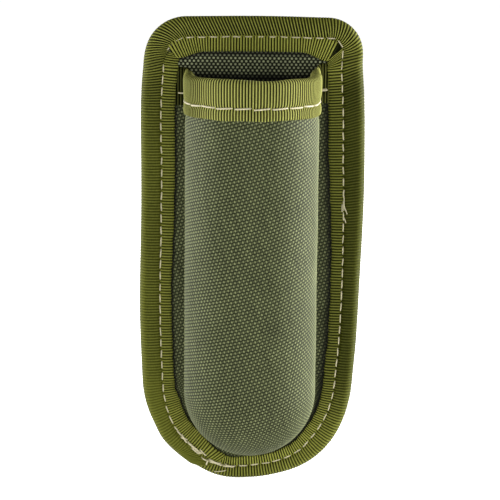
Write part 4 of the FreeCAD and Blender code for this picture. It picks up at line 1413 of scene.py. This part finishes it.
make_edge_binding()
make_shell()
make_lining()
make_foam()
make_mouth_tape()
make_panel()
make_edge_seam(rear=False)
make_edge_seam(rear=True)
make_mouth_seam()
make_panel_foam()
make_strap()
make_strap_seams()
make_hook_patch()
make_loop_patch()
dress(stiff_sheet, "back_panel_stiffener")
dress(snap_metal, "snap_studs", "snap_stud_eyelets", "snap_sockets", "snap_caps")
dress(spring_wire, "snap_socket_springs")


# ---- Stage, lights and camera ----


def make_stage():
    """Pale floor and pale surroundings."""
    steps = np.linspace(-FLOOR_REACH, FLOOR_REACH, 9) / MM
    grid = np.stack([*np.meshgrid(steps, steps, indexing="ij"), np.full((9, 9), FOOT_Z - 0.4)], -1)
    shader = Shader("pale_floor", roughness=0.9)
    speck = shader.noise((30.0, 30.0, 30.0), 3.0)
    seen = shader.add("LightPath").outputs["Is Camera Ray"]
    shader.set(Base_Color=shader.mix(speck, colour(0.86, 0.86, 0.86), colour(0.88, 0.88, 0.88)))
    shader.set(Emission_Color=colour(1, 1, 1), Emission_Strength=shader.ramp(seen, 0.0, 1.0, 0.35, 0.85))
    faces = grid_faces(9, 9)[:, ::-1].tolist()
    add_piece("floor", grid.reshape(-1, 3), faces, shader.material, body=None)
    world = bpy.data.worlds.new("surroundings")
    world.use_nodes = True
    tree = world.node_tree
    background = tree.nodes["Background"]
    path = tree.nodes.new("ShaderNodeLightPath")
    strength = tree.nodes.new("ShaderNodeMapRange")
    strength.inputs[3].default_value = 0.2
    strength.inputs[4].default_value = 1.05
    tree.links.new(path.outputs["Is Camera Ray"], strength.inputs[0])
    tree.links.new(strength.outputs[0], background.inputs["Strength"])
    background.inputs["Color"].default_value = colour(1, 1, 1)
    bpy.context.scene.world = world


def add_light(name, place, size, power):
    """Soft area light that points at the holster."""
    data = bpy.data.lights.new(name, "AREA")
    data.shape = "RECTANGLE"
    data.size, data.size_y = size
    data.energy = power
    light = bpy.data.objects.new(name, data)
    bpy.context.scene.collection.objects.link(light)
    light.location = place
    light.rotation_euler = (Vector(LIGHT_AIM) - Vector(place)).to_track_quat("-Z", "Y").to_euler()


def make_camera():
    """Camera a little above the holster, in front of it, rolled slightly."""
    low, high = (np.array(corner) for corner in cad_box)
    aim = Vector(((low[0] + high[0]) / 2 + CAMERA_AIM[0], CAMERA_AIM[1], low[2] + CAMERA_AIM[2]))
    rise = math.radians(CAMERA_RISE)
    data = bpy.data.cameras.new("camera")
    data.sensor_width = 36.0
    data.lens = CAMERA_LENS
    data.clip_end = 50.0
    camera = bpy.data.objects.new("camera", data)
    bpy.context.scene.collection.objects.link(camera)
    camera.location = aim + Vector((0, -math.cos(rise), math.sin(rise))) * CAMERA_DISTANCE
    facing = (aim - camera.location).to_track_quat("-Z", "Y").to_matrix().to_4x4()
    roll = Matrix.Rotation(math.radians(CAMERA_ROLL), 4, "Z")
    camera.rotation_euler = (facing @ roll).to_euler()
    bpy.context.scene.camera = camera


make_stage()
for name, (place, size, power) in LIGHTS.items():
    add_light(name, place, size, power)
make_camera()
bpy.context.scene.view_settings.view_transform = "Standard"
